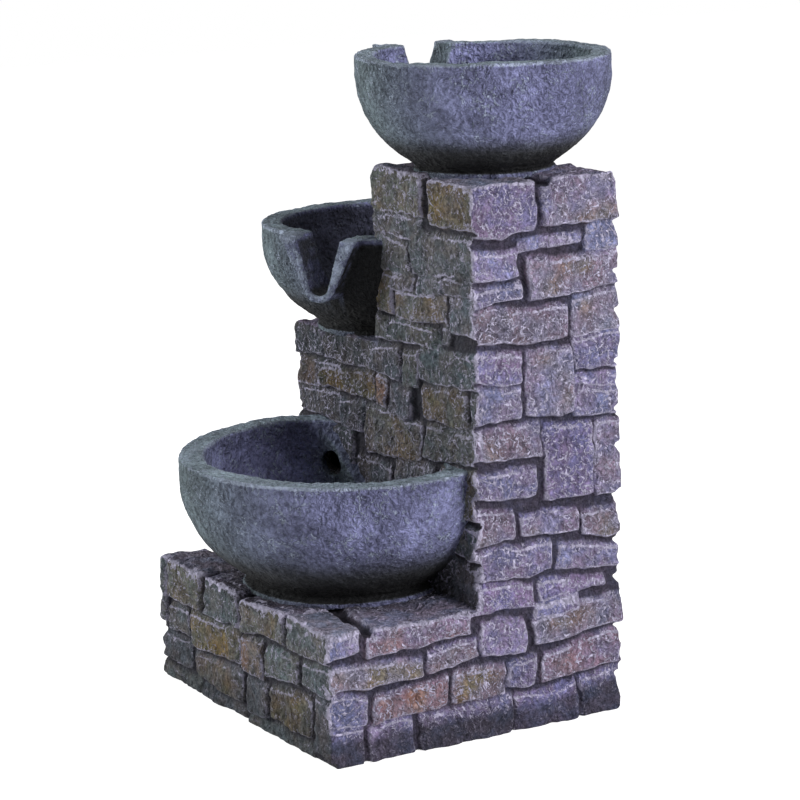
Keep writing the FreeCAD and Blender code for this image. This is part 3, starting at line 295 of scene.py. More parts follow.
def courses(left, right, low, high, phase):
    """Courses of stones by the part's rule, for a side that the photograph doesn't show."""
    rows = max(1, round((high - low) / COURSE_HEIGHT))
    tall = (high - low) / rows
    count = max(1, round((right - left) / STONE_LENGTH))
    long = (right - left) / count

    def bed(row):
        inner = 0 < row < rows
        return low + row * tall + inner * COURSE_SWAY * tall * math.sin(BED_BEAT * row + phase)

    def head(row, n):
        sway = STONE_SWAY * long * math.sin(HEAD_BEAT * n + ROW_BEAT * row + phase)
        return left + (n - row % 2 / 2) * long + sway

    stones = []
    for row in range(rows):
        for n in range(count + row % 2):
            start = left if n == 0 else head(row, n)
            end = right if n == count + row % 2 - 1 else head(row, n + 1)
            low_edge, top_edge = bed(row), bed(row + 1) - BED_WIDTH
            mark = PIGMENT_RULE[(3 * row + 2 * n + int(phase)) % len(PIGMENT_RULE)].strip()
            stones.append((start + JOINT_WIDTH / 2, end - JOINT_WIDTH / 2, low_edge, low_edge,
                           top_edge, top_edge, mark))
    return stones


# Relief of the stones: heights and sizes of the noises, slopes, and how stones differ, millimetres.
MAP_STEP, MAP_MARGIN = 0.75, 6.0
ALONG_WAVES = (1.9, 13, False), (0.9, 5, False)
UP_WAVES = (1.6, 15, False), (0.9, 4.5, False)
JOINT_WAVE = (0.5, 4, False)
HEWN_WAVES = (0.9, 17, True), (0.55, 8, False), (-0.9, 5, True), (0.45, 2.6, False)
PATCH_SIZE, FLECK_SIZE = 11, 6
SIDE_SLOPE, LOW_SLOPE, TOP_SLOPE, TOP_EASE = 1.5, 1.1, 0.8, 1.0
TOP_STEEP, TOP_GENTLE = 0.45, 0.55
LOW_BOW, TOP_BOW = (-1.0, 0.4), (-0.4, 0.6)
LIFT_SPREAD, TILT_SPREAD, LEAN, PROUD, NOWHERE = 0.45, 1.2, 0.6, 0.6, -99.0
NEAR_CORNER, NEAR_BED, RUN_PAST = 5.0, 3.0, 8.0
EDGE_LOW, EDGE_FAR, EDGE_ABOVE = -2.0, 6.0, 1.2
FLAT_FADE, WEAR_FROM, WEAR_FULL = 3.0, 0.1, 0.6

# Paint of the stones, with painted shade on the middle column's front and low on the stones marked
# d.
TONE_RANGE, HUE_RANGE = (0.8, 1.18), (0.95, 1.05)
JOINT_TONE, FLAT_TONE = 0.7, 0.9
COLUMN_SHADE, COLUMN_SHADE_FADE = 0.62, 18.0
# Painted shade on the stones marked d, in the lowest course: darker and with less pale brush
# further down.
LOW_SHADE, LOW_SHADE_TINT, LOW_SHADE_BRUSH, LOW_SHADE_FADE, LOW_SHADE_START = "d", (0.3, 0.33, 0.29), 0.25, 9.0, 0.2
STAINS = {"o": (0.5, "ochre"), "O": (0.8, "ochre"), "p": (0.5, "pink"), "P": (0.9, "pink")}
STAIN_LONG, STAIN_TALL, STAIN_MOST = 1.5, 1.7, 0.8
STAIN_EVEN, STAIN_PATCHY, STAIN_FLECKED, PATCH_GAIN, PATCH_BIAS = 0.5, 0.6, 0.5, 1.3, 0.2


class StoneFace:
    """Relief and paint of one flat side of the casting, mapped over its own two directions."""

    def __init__(self, axis, plane, sign, span, rise, stones, tone, brush, seed, bevel=True,
                 flat=(), dim=None):
        self.axis, self.plane, self.sign = axis, plane, sign
        self.others = [a for a in range(3) if a != axis]
        self.span, self.rise = span, rise
        self.low = np.array([span[0] - MAP_MARGIN, rise[0] - MAP_MARGIN])
        counts = [int((hi - lo + 2 * MAP_MARGIN) / MAP_STEP) + 2 for lo, hi in (span, rise)]
        u, v = np.meshgrid(*[self.low[i] + MAP_STEP * np.arange(counts[i]) for i in (0, 1)],
                           indexing="ij")
        points = np.zeros(u.shape + (3,), np.float32)
        for direction, places in zip((*self.others, axis), (u, v, plane)):
            points[..., direction] = places
        self.lay(u, v, points, stones, np.array(tone), brush, seed, bevel)
        for patch in flat:
            self.flatten(u, v, patch, np.array(tone))
        self.wear = np.clip((self.height - blurred(self.height, 2) - WEAR_FROM) / WEAR_FULL, 0, 1)
        # Painted shade on the middle column's front, left of the split, under the middle bowl.
        if dim is not None:
            light = COLUMN_SHADE + (1 - COLUMN_SHADE) * smooth((u - dim) / COLUMN_SHADE_FADE + 1)
            self.colour *= light[..., None]

    def lay(self, u, v, points, stones, tone, brush, seed, bevel):
        """Lays the stones one by one; each takes the map where it stands higher than the others."""
        look = bpy.context.scene.fountain_stone
        rng = np.random.default_rng(seed)
        slope = look.bevel if bevel else 0.0
        along = layered(u, points, seed, *ALONG_WAVES)
        up = layered(v, points, seed + 2, *UP_WAVES)
        height = layered(-look.joint, points, seed + 4, JOINT_WAVE)
        hewn = look.hewn * layered(0.0, points, seed + 5, *HEWN_WAVES)
        patch = smooth(noise(points, PATCH_SIZE, seed + 9) * PATCH_GAIN + PATCH_BIAS)
        fleck = noise(points, FLECK_SIZE, seed + 10)
        rise_map, edge_map = np.zeros_like(height), np.full_like(height, EDGE_LOW)
        dry_map = np.full_like(height, brush)
        colour = np.empty(u.shape + (3,), np.float32)
        colour[:] = tone * JOINT_TONE
        for left, right, low0, low1, top0, top1, *mark in stones:
            left, right = self.past_edges(left - look.spread, right + look.spread)
            part = np.clip((along - left) / (right - left), 0, 1)
            low = low0 + (low1 - low0) * part + 4 * rng.uniform(*LOW_BOW) * part * (1 - part)
            top = top0 + (top1 - top0) * part + 4 * rng.uniform(*TOP_BOW) * part * (1 - part)
            low = np.where(low < self.rise[0] + NEAR_BED, low - RUN_PAST, low)
            top = np.where(top > self.rise[1] - NEAR_BED, top + RUN_PAST, top)
            from_side = np.minimum(along - left, right - along)
            from_low, from_top = up - low, top + slope - up
            rise = smooth(from_side / SIDE_SLOPE) * smooth(from_low / LOW_SLOPE)
            rise *= (TOP_STEEP * smooth(from_top / TOP_SLOPE)
                     + TOP_GENTLE * smooth(from_top / (slope + TOP_EASE)))
            lift = rng.normal(0.0, LIFT_SPREAD) + rng.normal(0, TILT_SPREAD) * (part - 0.5)
            lift = lift - LEAN * from_low / np.maximum(top - low, 1)
            stone = -look.joint + rise * (look.joint + PROUD + lift + hewn)
            here = np.where(rise > 0, stone, NOWHERE)
            owner = here > height
            height = np.where(owner, here, height)
            rise_map = np.where(owner, rise, rise_map)
            edge = any_of(from_side, from_low, top - up + EDGE_ABOVE)
            edge_map = np.where(owner, np.clip(edge, EDGE_LOW, EDGE_FAR), edge_map)
            coat = tone * rng.uniform(*TONE_RANGE) * rng.uniform(*HUE_RANGE, 3)
            coat = np.broadcast_to(coat, u.shape + (3,))
            mark = "".join(mark)
            # Stones marked d get painted shade: darker tint and less pale brush further down the
            # stone.
            if mark == LOW_SHADE:
                low_shade = smooth((top - up) / LOW_SHADE_FADE + LOW_SHADE_START)
                coat = coat * (1 - low_shade[..., None] * (1 - np.array(LOW_SHADE_TINT)))
                dry_map = np.where(owner, brush * (1 - (1 - LOW_SHADE_BRUSH) * low_shade), dry_map)
            if mark in STAINS:
                amount, stain = STAINS[mark]
                central = smooth(STAIN_LONG - np.abs(2 * part - 1))
                central = central * smooth(STAIN_TALL - np.abs(2 * from_low / (top - low) - 1))
                mask = (STAIN_EVEN + STAIN_PATCHY * patch) * central * amount
                mask = np.clip(mask * (1 + STAIN_FLECKED * fleck), 0, STAIN_MOST)[..., None]
                coat = coat * (1 - mask) + np.array(getattr(look, stain)) * mask
            colour = np.where(owner[..., None], coat, colour)
        self.height, self.colour, self.dry = height, colour, dry_map
        self.joint, self.edge = 1 - rise_map, edge_map

    def flatten(self, u, v, patch, tone):
        """Takes the stones out of a rectangle, where something is mounted."""
        u0, u1, v0, v1 = patch
        keep = smooth(np.maximum(slab(u, u0, u1), slab(v, v0, v1)) / FLAT_FADE)
        self.height = self.height * keep
        self.joint = self.joint * keep
        self.edge = EDGE_FAR - (EDGE_FAR - self.edge) * keep
        keep = keep[..., None]
        self.colour = self.colour * keep + tone * FLAT_TONE * (1 - keep)

    def past_edges(self, left, right):
        """Stones close to a corner run past it."""
        start, end = self.span
        left = start - RUN_PAST if left - start < NEAR_CORNER else left
        right = end + RUN_PAST if end - right < NEAR_CORNER else right
        return left, right

    def sample(self, values, u, v):
        """Map value at places along the face."""
        gu = np.clip((u - self.low[0]) / MAP_STEP, 0, values.shape[0] - 1.001)
        gv = np.clip((v - self.low[1]) / MAP_STEP, 0, values.shape[1] - 1.001)
        i, j = gu.astype(int), gv.astype(int)
        fu, fv = gu - i, gv - j
        if values.ndim == 3:
            fu, fv = fu[..., None], fv[..., None]
        near = values[i, j] * (1 - fv) + values[i, j + 1] * fv
        far = values[i + 1, j] * (1 - fv) + values[i + 1, j + 1] * fv
        return near * (1 - fu) + far * fu

    def on_grid(self, axes):
        """Relief over the lattice, ready to be added to the face's plane."""
        u, v = np.meshgrid(*(axes[a] for a in self.others), indexing="ij")
        return np.expand_dims(self.sample(self.height, u, v), self.axis).astype(np.float32)


def surface_net(field, low, step):
    """Points and quads of a closed skin on the zero level of a field that is negative inside."""
    inside = field < 0
    cells = tuple(n - 1 for n in field.shape)
    corners = [(c & 1, c >> 1 & 1, c >> 2) for c in range(8)]
    count = np.zeros(cells, np.uint8)
    for i, j, k in corners:
        count += inside[i:i + cells[0], j:j + cells[1], k:k + cells[2]]
    active = np.argwhere((count > 0) & (count < 8))
    index = np.full(cells, -1, np.int32)
    index[tuple(active.T)] = np.arange(len(active))
    values = [field[tuple((active + corner).T)] for corner in corners]
    total = np.zeros((len(active), 3))
    hits = np.zeros(len(active))
    for a in range(8):
        for axis in range(3):
            b = a | 1 << axis
            if a == b:
                continue
            crossed = (values[a] < 0) != (values[b] < 0)
            share = values[a] / np.where(crossed, values[a] - values[b], 1)
            spot = np.tile(np.array(corners[a], float), (len(active), 1))
            spot[:, axis] += np.where(crossed, share, 0)
            total += np.where(crossed[:, None], spot, 0)
            hits += crossed
    points = np.array(low) + (active + total / hits[:, None]) * step
    quads = []
    for axis in range(3):
        b, c = (axis + 1) % 3, (axis + 2) % 3
        first, second = [slice(None)] * 3, [slice(None)] * 3
        first[axis], second[axis] = slice(0, -1), slice(1, None)
        here, there = inside[tuple(first)], inside[tuple(second)]
        edges = np.argwhere(here != there)
        edges = edges[(edges[:, b] > 0) & (edges[:, c] > 0)]
        ring = []
        for db, dc in ((0, 0), (-1, 0), (-1, -1), (0, -1)):
            cell = edges.copy()
            cell[:, b] += db
            cell[:, c] += dc
            ring.append(index[tuple(np.minimum(cell, np.array(cells) - 1).T)])
        ring = np.stack(ring, 1)
        outward = here[tuple(edges.T)]
        ring[~outward] = ring[~outward][:, ::-1]
        quads.append(ring)
    return points, np.concatenate(quads)


PINCH, PINCH_ROUNDS, CRUMB = 0.05, 4, 400


def unpinched(field):
    """Field with a few more samples inside, so that its skin touches itself nowhere."""
    for _ in range(PINCH_ROUNDS):
        inside = field < 0
        for axis in range(3):
            side = np.moveaxis(inside, axis, 0)
            falling = side[:, :-1, :-1] == side[:, 1:, 1:]
            rising = side[:, :-1, 1:] == side[:, 1:, :-1]
            crossing = falling & rising & (side[:, :-1, :-1] != side[:, 1:, :-1])
            level, row, column = np.nonzero(crossing)
            held = np.moveaxis(field, axis, 0)
            for i, j in ((0, 0), (0, 1), (1, 0), (1, 1)):
                spots = level, row + i, column + j
                held[spots] = np.minimum(held[spots], -PINCH)
    return field


def without_crumbs(mesh):
    """Takes the loose islands that are only a few faces large out of a mesh."""
    shape = bmesh.new()
    shape.from_mesh(mesh)
    left, crumbs = set(shape.faces), []
    while left:
        island = [left.pop()]
        for face in island:
            for near in {other for edge in face.edges for other in edge.link_faces} & left:
                left.remove(near)
                island.append(near)
        crumbs += island if len(island) < CRUMB else []
    bmesh.ops.delete(shape, geom=crumbs, context="FACES")
    shape.to_mesh(mesh)
    shape.free()


def new_mesh(name, points, faces):
    """Mesh in the part's frame from millimetre points about the casting's middle."""
    mesh = bpy.data.meshes.new(name)
    mesh.from_pydata(((points + MIDDLE) * MM).tolist(), [], faces.tolist())
    mesh.update()
    return mesh


def new_object(name, data):
    """Object in the scene that shows a mesh, a lamp or a camera."""
    piece = bpy.data.objects.new(name, data)
    bpy.context.scene.collection.objects.link(piece)
    return piece


def settled_mesh(piece):
    """The object's mesh with its modifiers applied, and the modifiers removed."""
    bpy.context.view_layer.update()
    graph = bpy.context.evaluated_depsgraph_get()
    mesh = bpy.data.meshes.new_from_object(piece.evaluated_get(graph), depsgraph=graph)
    piece.modifiers.clear()
    old = piece.data
    mesh.name = piece.name
    piece.data = mesh
    bpy.data.meshes.remove(old)
    return mesh


def mesh_points(mesh):
    """Vertex places in millimetres about the casting's middle, and the vertex normals."""
    count = len(mesh.vertices)
    places, normals = np.empty(count * 3, np.float32), np.empty(count * 3, np.float32)
    mesh.vertices.foreach_get("co", places)
    mesh.vertex_normals.foreach_get("vector", normals)
    return places.reshape(-1, 3) / MM - MIDDLE, normals.reshape(-1, 3)


def put_attribute(mesh, name, values):
    """Stores a value or a colour on each vertex."""
    if values.ndim == 2:
        layer = mesh.attributes.new(name, "FLOAT_COLOR", "POINT")
        rgba = np.ones((len(values), 4), np.float32)
        rgba[:, :3] = values
        layer.data.foreach_set("color", rgba.ravel())
    else:
        layer = mesh.attributes.new(name, "FLOAT", "POINT")
        layer.data.foreach_set("value", np.ascontiguousarray(values, np.float32))


def smooth_shaded(mesh, sharp_degrees):
    """Shades a mesh smoothly, apart from edges sharper than an angle."""
    mesh.polygons.foreach_set("use_smooth", np.ones(len(mesh.polygons), bool))
    mesh.set_sharp_from_angle(angle=math.radians(sharp_degrees))


def sum_of(operation, swapped=False):
    """Arithmetic on a wire, which adds the node that does it."""
    def work(self, other=0.5):
        pair = (other, self) if swapped else (self, other)
        return self.bench.math(operation, *pair)
    return work


class Wire:
    """Output of a node, which can be used in sums."""
    __add__, __mul__, __truediv__ = map(sum_of, ("ADD", "MULTIPLY", "DIVIDE"))
    __sub__, __rsub__ = sum_of("SUBTRACT"), sum_of("SUBTRACT", swapped=True)
    __pow__, __abs__ = sum_of("POWER"), sum_of("ABSOLUTE")

    def __init__(self, bench, socket):
        self.bench, self.socket = bench, socket


class Bench:
    """Short way to add and join the nodes of a tree."""

    def __init__(self, tree):
        self.tree = tree

    def node(self, kind, inputs=None, **fields):
        """New node with its fields set and its inputs fed."""
        node = self.tree.nodes.new(kind)
        for key, value in fields.items():
            setattr(node, key, value)
        for key, value in (inputs or {}).items():
            self.feed(node.inputs[key], value)
        return node

    def wire(self, kind, inputs=None, output=0, **fields):
        """One output of a new node."""
        return Wire(self, self.node(kind, inputs, **fields).outputs[output])

    def feed(self, socket, value):
        """Links a wire to a socket, or sets the socket's own value."""
        if isinstance(value, Wire):
            self.tree.links.new(value.socket, socket)
        elif socket.type == "RGBA":
            socket.default_value = (*value, 1.0)
        else:
            socket.default_value = value

    def math(self, operation, first, second=0.5, clamp=False):
        return self.wire("ShaderNodeMath", {0: first, 1: second}, operation=operation,
                         use_clamp=clamp)

    def seen_directly(self):
        """1 for what the camera sees directly, in a mirror or through glass."""
        rays = self.node("ShaderNodeLightPath").outputs
        direct, mirrored, through = (
            Wire(self, rays[f"Is {kind} Ray"]) for kind in ("Camera", "Glossy", "Transmission"))
        return self.math("MAXIMUM", self.math("MAXIMUM", direct, mirrored), through)


# Roughness, offset and gain of the ridged noises, and how much they wind.
WRINKLES, VEINS, RIDGE_WINDING = (0.75, 0.9, 1.6), (0.6, 0.95, 1.8), 0.35


class NodeBench(Bench):
    """Shader nodes of one material."""

    def __init__(self, name):
        self.material = bpy.data.materials.new(name)
        self.material.use_nodes = True
        super().__init__(self.material.node_tree)
        self.coords = self.wire("ShaderNodeTexCoord", output="Object")

    def grain(self, scale, detail=3.0, rough=0.6):
        """Soft noise about 0.5."""
        return self.wire("ShaderNodeTexNoise", {
            "Vector": self.coords, "Scale": scale, "Detail": detail, "Roughness": rough,
        }, "Fac")

    def ridges(self, scale, detail, rough, offset, gain):
        """Sharp winding ridges, about 0 in the hollows and past 2 on the crests."""
        return self.wire("ShaderNodeTexNoise", {
            "Vector": self.coords, "Scale": scale, "Detail": detail, "Roughness": rough,
            "Offset": offset, "Gain": gain, "Distortion": RIDGE_WINDING,
        }, "Fac", noise_type="RIDGED_MULTIFRACTAL")

    def ramp(self, value, low, high, to_low=0.0, to_high=1.0):
        """Soft step from one value to another."""
        return self.wire("ShaderNodeMapRange", {
            "Value": value, "From Min": low, "From Max": high, "To Min": to_low, "To Max": to_high,
        }, "Result", interpolation_type="SMOOTHSTEP")

    def mix(self, factor, first, second, blend="MIX"):
        """Colour between two colours."""
        return self.wire("ShaderNodeMix", {0: factor, 6: first, 7: second}, 2,
                         data_type="RGBA", blend_type=blend)

    def tinted(self, colour, tint):
        """Colour times another colour."""
        return self.mix(1.0, colour, tint, "MULTIPLY")

    def shaded(self, colour, shade):
        """Colour made darker or paler by a value."""
        grey = self.wire("ShaderNodeCombineColor", dict.fromkeys(range(3), shade))
        return self.tinted(colour, grey)

    def attribute(self, name, output="Fac"):
        """Value or colour stored on the vertices."""
        return self.wire("ShaderNodeAttribute", output=output, attribute_name=name)

    def bump(self, height, distance, strength=1.0):
        """Normal bent by a fine relief."""
        return self.wire("ShaderNodeBump", {
            "Height": height, "Distance": distance, "Strength": strength,
        }, "Normal")

    def finish(self, **sockets):
        """The material, with its shader's sockets fed."""
        shader = self.tree.nodes["Principled BSDF"]
        for key, value in sockets.items():
            self.feed(shader.inputs[key.replace("_", " ")], value)
        return self.material


SLIVER = 0.01


class ShapeBench(Bench):
    """Geometry nodes of one shape, whose sizes are named inputs in metres."""

    def __init__(self, name, **sizes):
        super().__init__(bpy.data.node_groups.new(name, "GeometryNodeTree"))
        self.sizes = {label.replace("_", " "): size * MM for label, size in sizes.items()}
        sockets = self.tree.interface
        for label in self.sizes:
            sockets.new_socket(label, in_out="INPUT", socket_type="NodeSocketFloat")
        sockets.new_socket("Finish", in_out="INPUT", socket_type="NodeSocketMaterial")
        sockets.new_socket("Shape", in_out="OUTPUT", socket_type="NodeSocketGeometry")
        given = self.node("NodeGroupInput").outputs
        self.given = {socket.name: Wire(self, socket) for socket in given}
        place = self.wire("GeometryNodeInputPosition")
        parts = self.node("ShaderNodeSeparateXYZ", {0: place}).outputs
        self.x, self.y, self.z = (Wire(self, part) for part in parts)
        self.across = self.math("SQRT", self.x ** 2 + self.y ** 2)
        self.turn = self.math("ARCTAN2", self.y, self.x)

    def half(self, label):
        return self.given[label] * 0.5

    def vector(self, x=0.0, y=0.0, z=0.0):
        return self.wire("ShaderNodeCombineXYZ", {0: x, 1: y, 2: z})

    def drum(self, width, depth, sides, rings, fills):
        """Upright cylinder about the origin."""
        return self.wire("GeometryNodeMeshCylinder", {
            "Vertices": sides, "Side Segments": rings, "Fill Segments": fills,
            "Radius": self.half(width), "Depth": self.given[depth],
        }, "Mesh")

    def bar(self, x, y, z):
        """Block about the origin."""
        return self.wire("GeometryNodeMeshCube", {"Size": self.vector(x, y, z)}, "Mesh")

    def lifted(self, shape, rise):
        """Shape moved up as a whole."""
        return self.wire("GeometryNodeTransform",
                         {"Geometry": shape, "Translation": self.vector(z=rise)})

    def moved(self, shape, widen=1.0, rise=0.0):
        """Points moved to a share of their distance from the axis, and up."""
        place = self.vector(self.x * widen, self.y * widen, self.z + rise)
        return self.wire("GeometryNodeSetPosition", {"Geometry": shape, "Position": place})

    def cut(self, shape, tool):
        """Shape with the tool taken out of it, and the slivers closed."""
        rest = self.wire("GeometryNodeMeshBoolean", {0: shape, 1: tool}, operation="DIFFERENCE")
        return self.wire("GeometryNodeMergeByDistance",
                         {"Geometry": rest, "Distance": SLIVER * MM})

    def together(self, *shapes):
        node = self.node("GeometryNodeJoinGeometry")
        for shape in shapes:
            self.feed(node.inputs[0], shape)
        return Wire(self, node.outputs[0])

    def at_corners(self, shape):
        """Copies at the corners of a rectangle about the origin."""
        grid = self.wire("GeometryNodeMeshGrid", {
            "Size X": self.given["Spacing X"], "Size Y": self.given["Spacing Y"],
            "Vertices X": 2, "Vertices Y": 2,
        }, "Mesh")
        return self.wire("GeometryNodeInstanceOnPoints", {"Points": grid, "Instance": shape})

    def made(self, shape, material):
        """Object with the plain mesh of the finished shape."""
        solid = self.wire("GeometryNodeRealizeInstances", {0: shape})
        dressed = self.wire("GeometryNodeSetMaterial",
                            {"Geometry": solid, "Material": self.given["Finish"]})
        self.node("NodeGroupOutput", {0: dressed})
        name = self.tree.name
        piece = new_object(name, bpy.data.meshes.new(name))
        modifier = piece.modifiers.new(name, "NODES")
        modifier.node_group = self.tree
        for item in self.tree.interface.items_tree:
            if item.in_out == "INPUT":
                modifier[item.identifier] = self.sizes.get(item.name, material)
        settled_mesh(piece)
        return piece


WARM_CAST, COOL_CAST = (1.1, 0.96, 0.92), (0.9, 1.0, 1.08)


def stone_material():
    """Painted cast stone: pitted and veined, pale along its edges and dark in the joints."""
    look = bpy.context.scene.fountain_stone
    bench = NodeBench("cast_stone")
    grain, ramp = bench.grain, bench.ramp
    wear, joint, dry, edge = map(bench.attribute, ("wear", "joint", "dry", "edge"))
    tint = bench.attribute("tint", "Color")
    tint = bench.mix(ramp(grain(75), 0.35, 0.65), bench.tinted(tint, WARM_CAST),
                     bench.tinted(tint, COOL_CAST))
    wrinkle = bench.ridges(230, 5, *WRINKLES)
    pits = (ramp(grain(480, 4, 0.7), 0.34, 0.6, 0.5, 1.05)
            * ramp(wrinkle, 0.2, 1.0, 0.55, 1.05))
    stone = bench.shaded(tint, ramp(grain(130, 4), 0.3, 0.7, 0.72, 1.2) * pits)
    broad = ramp(bench.ridges(280, 3, *VEINS), 1.25, 1.6)
    narrow = ramp(bench.ridges(460, 2, *VEINS), 1.2, 1.65) * 0.6
    veins = bench.math("MAXIMUM", broad, narrow) * ramp(grain(85), 0.34, 0.58, 0.45, 1.0)
    line = abs(edge + (grain(420) - 0.5) * 2.2 - 1.0)
    line = ramp(line, 0.2, 0.85, 1.0, 0.0) * ramp(grain(60), 0.4, 0.6, 0.1, 1.0)
    score = (veins * 0.9 + line * 0.85 + wear * 0.3) * ramp(dry, 0.0, 1.0, 0.2, 1.0)
    score = score + (grain(800, rough=0.65) - 0.5) * 0.5
    pale = ramp(score, 0.1, 0.8, 0.0, 0.9) * ramp(joint, 0.3, 0.9, 1.0, 0.3)
    painted = bench.mix(pale, stone, tuple(look.brush))
    painted = bench.mix(ramp(joint, 0.2, 0.9, 0.0, 0.8), painted, tuple(look.grime))
    return bench.finish(Base_Color=painted, Roughness=ramp(pits, 0.3, 1.1, 0.96, 0.8),
                        Specular_IOR_Level=0.25, Normal=bench.bump(wrinkle + veins * 0.8, 0.0011))


def bowl_material():
    """Stippled slate, pale on the rubbed edges, with painted light: violet towards the right, dark
    at the foot.
    """
    look = bpy.context.scene.fountain_bowl
    bench = NodeBench("bowl_stone")
    grain, ramp = bench.grain, bench.ramp
    wear, wash, turn = map(bench.attribute, ("wear", "wash", "turn"))
    # Violet on the faces turned to the right is painted light from the right.
    tone = bench.mix(ramp(turn, -0.2, 1.0), tuple(look.slate), tuple(look.violet))
    # The stored light level mixes in the dark colour as painted shade and wash, and brightens as
    # painted highlight.
    tone = bench.mix(ramp(wash, 0.25, 0.95), tuple(look.dark), tone)
    wrinkle = bench.ridges(270, 4, *WRINKLES)
    pits = (ramp(grain(520, 4, 0.7), 0.32, 0.58, 0.55, 1.05)
            * ramp(wrinkle, 0.2, 1.0, 0.55, 1.05))
    stone = bench.shaded(tone, ramp(grain(60, 4), 0.3, 0.7, 0.78, 1.18) * pits * wash)
    veins = ramp(bench.ridges(310, 3, *VEINS), 1.15, 1.6) * ramp(grain(95), 0.4, 0.62, 0.25, 1.0)
    rubbed = wear * ramp(grain(140), 0.35, 0.6, 0.4, 1.0)
    score = veins * wash * 0.75 + rubbed * wash * 0.95 + (grain(850, rough=0.65) - 0.5) * 0.7
    painted = bench.mix(ramp(score, 0.25, 0.85, 0.0, 0.85), stone, tuple(look.brush))
    relief = (wrinkle + veins * 0.8) * ramp(grain(42, rough=0.55), 0.4, 0.6, 0.35, 1.0)
    return bench.finish(Base_Color=painted, Roughness=ramp(pits, 0.3, 1.1, 0.95, 0.75),
                        Specular_IOR_Level=0.28, Normal=bench.bump(relief, 0.002))


CLOUD_SCALE, GLOSS_SPREAD = 0.12, 0.1


def moulded_material(name, colour, rough, grain, depth, metallic, spread):
    """Plain finish with a fine grain: its colour and gloss vary a little over the surface."""
    bench = NodeBench(name)
    cloud, fine = bench.grain(grain * CLOUD_SCALE), bench.grain(grain)
    darker = tuple(c * (1 - spread) for c in colour)
    paler = tuple(min(1.0, c * (1 + spread) + 0.004) for c in colour)
    mixed = bench.mix(bench.ramp(cloud, 0.35, 0.65), darker, paler)
    gloss = bench.ramp(fine, 0.3, 0.7, max(rough - GLOSS_SPREAD, 0.05),
                       min(rough + GLOSS_SPREAD, 1.0))
    return bench.finish(Base_Color=mixed, Roughness=gloss, Metallic=metallic,
                        Normal=bench.bump(fine, depth, 0.6))


def casting_faces():
    """All sides of the casting, with the relief of their stones."""
    look = bpy.context.scene.fountain_stone
    violet, green, dark = tuple(look.violet), tuple(look.green), tuple(look.dark)
    around = DOOR_LAP + FLAT_MARGIN
    door = (DOOR_X - DOOR_WIDTH / 2 - around, DOOR_X + DOOR_WIDTH / 2 + around,
            DOOR_Z - DOOR_HEIGHT / 2 - around, DOOR_Z + DOOR_HEIGHT / 2 + around)
    seat = (GROMMET_X - GROMMET_SEAT, GROMMET_X + GROMMET_SEAT,
            GROMMET_Z - GROMMET_SEAT, GROMMET_Z + GROMMET_SEAT)
    deep, wide, columns = (Y_FRONT, Y_BACK), (X_LEFT, X_RIGHT), (Y_FACE, Y_BACK)
    left, right = (X_LEFT, X_SPLIT), (X_SPLIT, X_RIGHT)
    low, full, upper = (0, Z_MIDDLE), (0, Z_TALL), (Z_MIDDLE, Z_TALL)
    return {
        # The right side's violet and the upright sides' grey-green are painted light from the right
        # and its shade.
        "right": StoneFace(0, X_RIGHT, 1, deep, full, RIGHT_STONES, violet, 1.0, 11),
        "left": StoneFace(0, X_LEFT, -1, deep, low, courses(*deep, *low, 0), green, 0.6, 31),
        "split": StoneFace(0, X_SPLIT, -1, columns, upper, courses(*columns, *upper, 1), green,
                           0.6, 32),
        "back": StoneFace(1, Y_BACK, 1, wide, full, courses(*wide, *full, 2), green, 0.7, 33,
                          flat=(door, seat)),
        # The middle column's front gets painted shade.
        "column": StoneFace(1, Y_FACE, -1, wide, (Z_BASE, Z_TALL), COLUMN_STONES, green, 0.6, 51,
                            dim=X_SPLIT),
        "base": StoneFace(1, Y_FRONT, -1, wide, (0, Z_BASE), BASE_STONES, green, 0.5, 71),
        "base_top": StoneFace(2, Z_BASE, 1, wide, deep, BASE_TOP_STONES, dark, 0.5, 81,
                              bevel=False),
        "shelf": StoneFace(2, Z_MIDDLE, 1, left, columns, SHELF_STONES, dark, 0.35, 91,
                           bevel=False),
        "crown": StoneFace(2, Z_TALL, 1, right, columns, CROWN_STONES, dark, 0.5, 101,
                           bevel=False),
    }


def return_tunnel(x, y, z):
    """Round hole between the lower bowl and the column, through which the water flows back."""
    aim = math.radians(RETURN_AIM)
    along = (x - RETURN_X) * math.cos(aim) + (y - Y_FACE) * math.sin(aim)
    aside = -(x - RETURN_X) * math.sin(aim) + (y - Y_FACE) * math.cos(aim)
    return np.maximum(np.hypot(aside, z - RETURN_Z) - RETURN_RADIUS,
                      slab(along, RETURN_FROM, RETURN_TO))


def fitting_bore(x, y):
    """Upright hole for the fitting in the top bowl's floor."""
    return np.hypot(x - FITTING_X, y - FITTING_Y) - FITTING_RADIUS


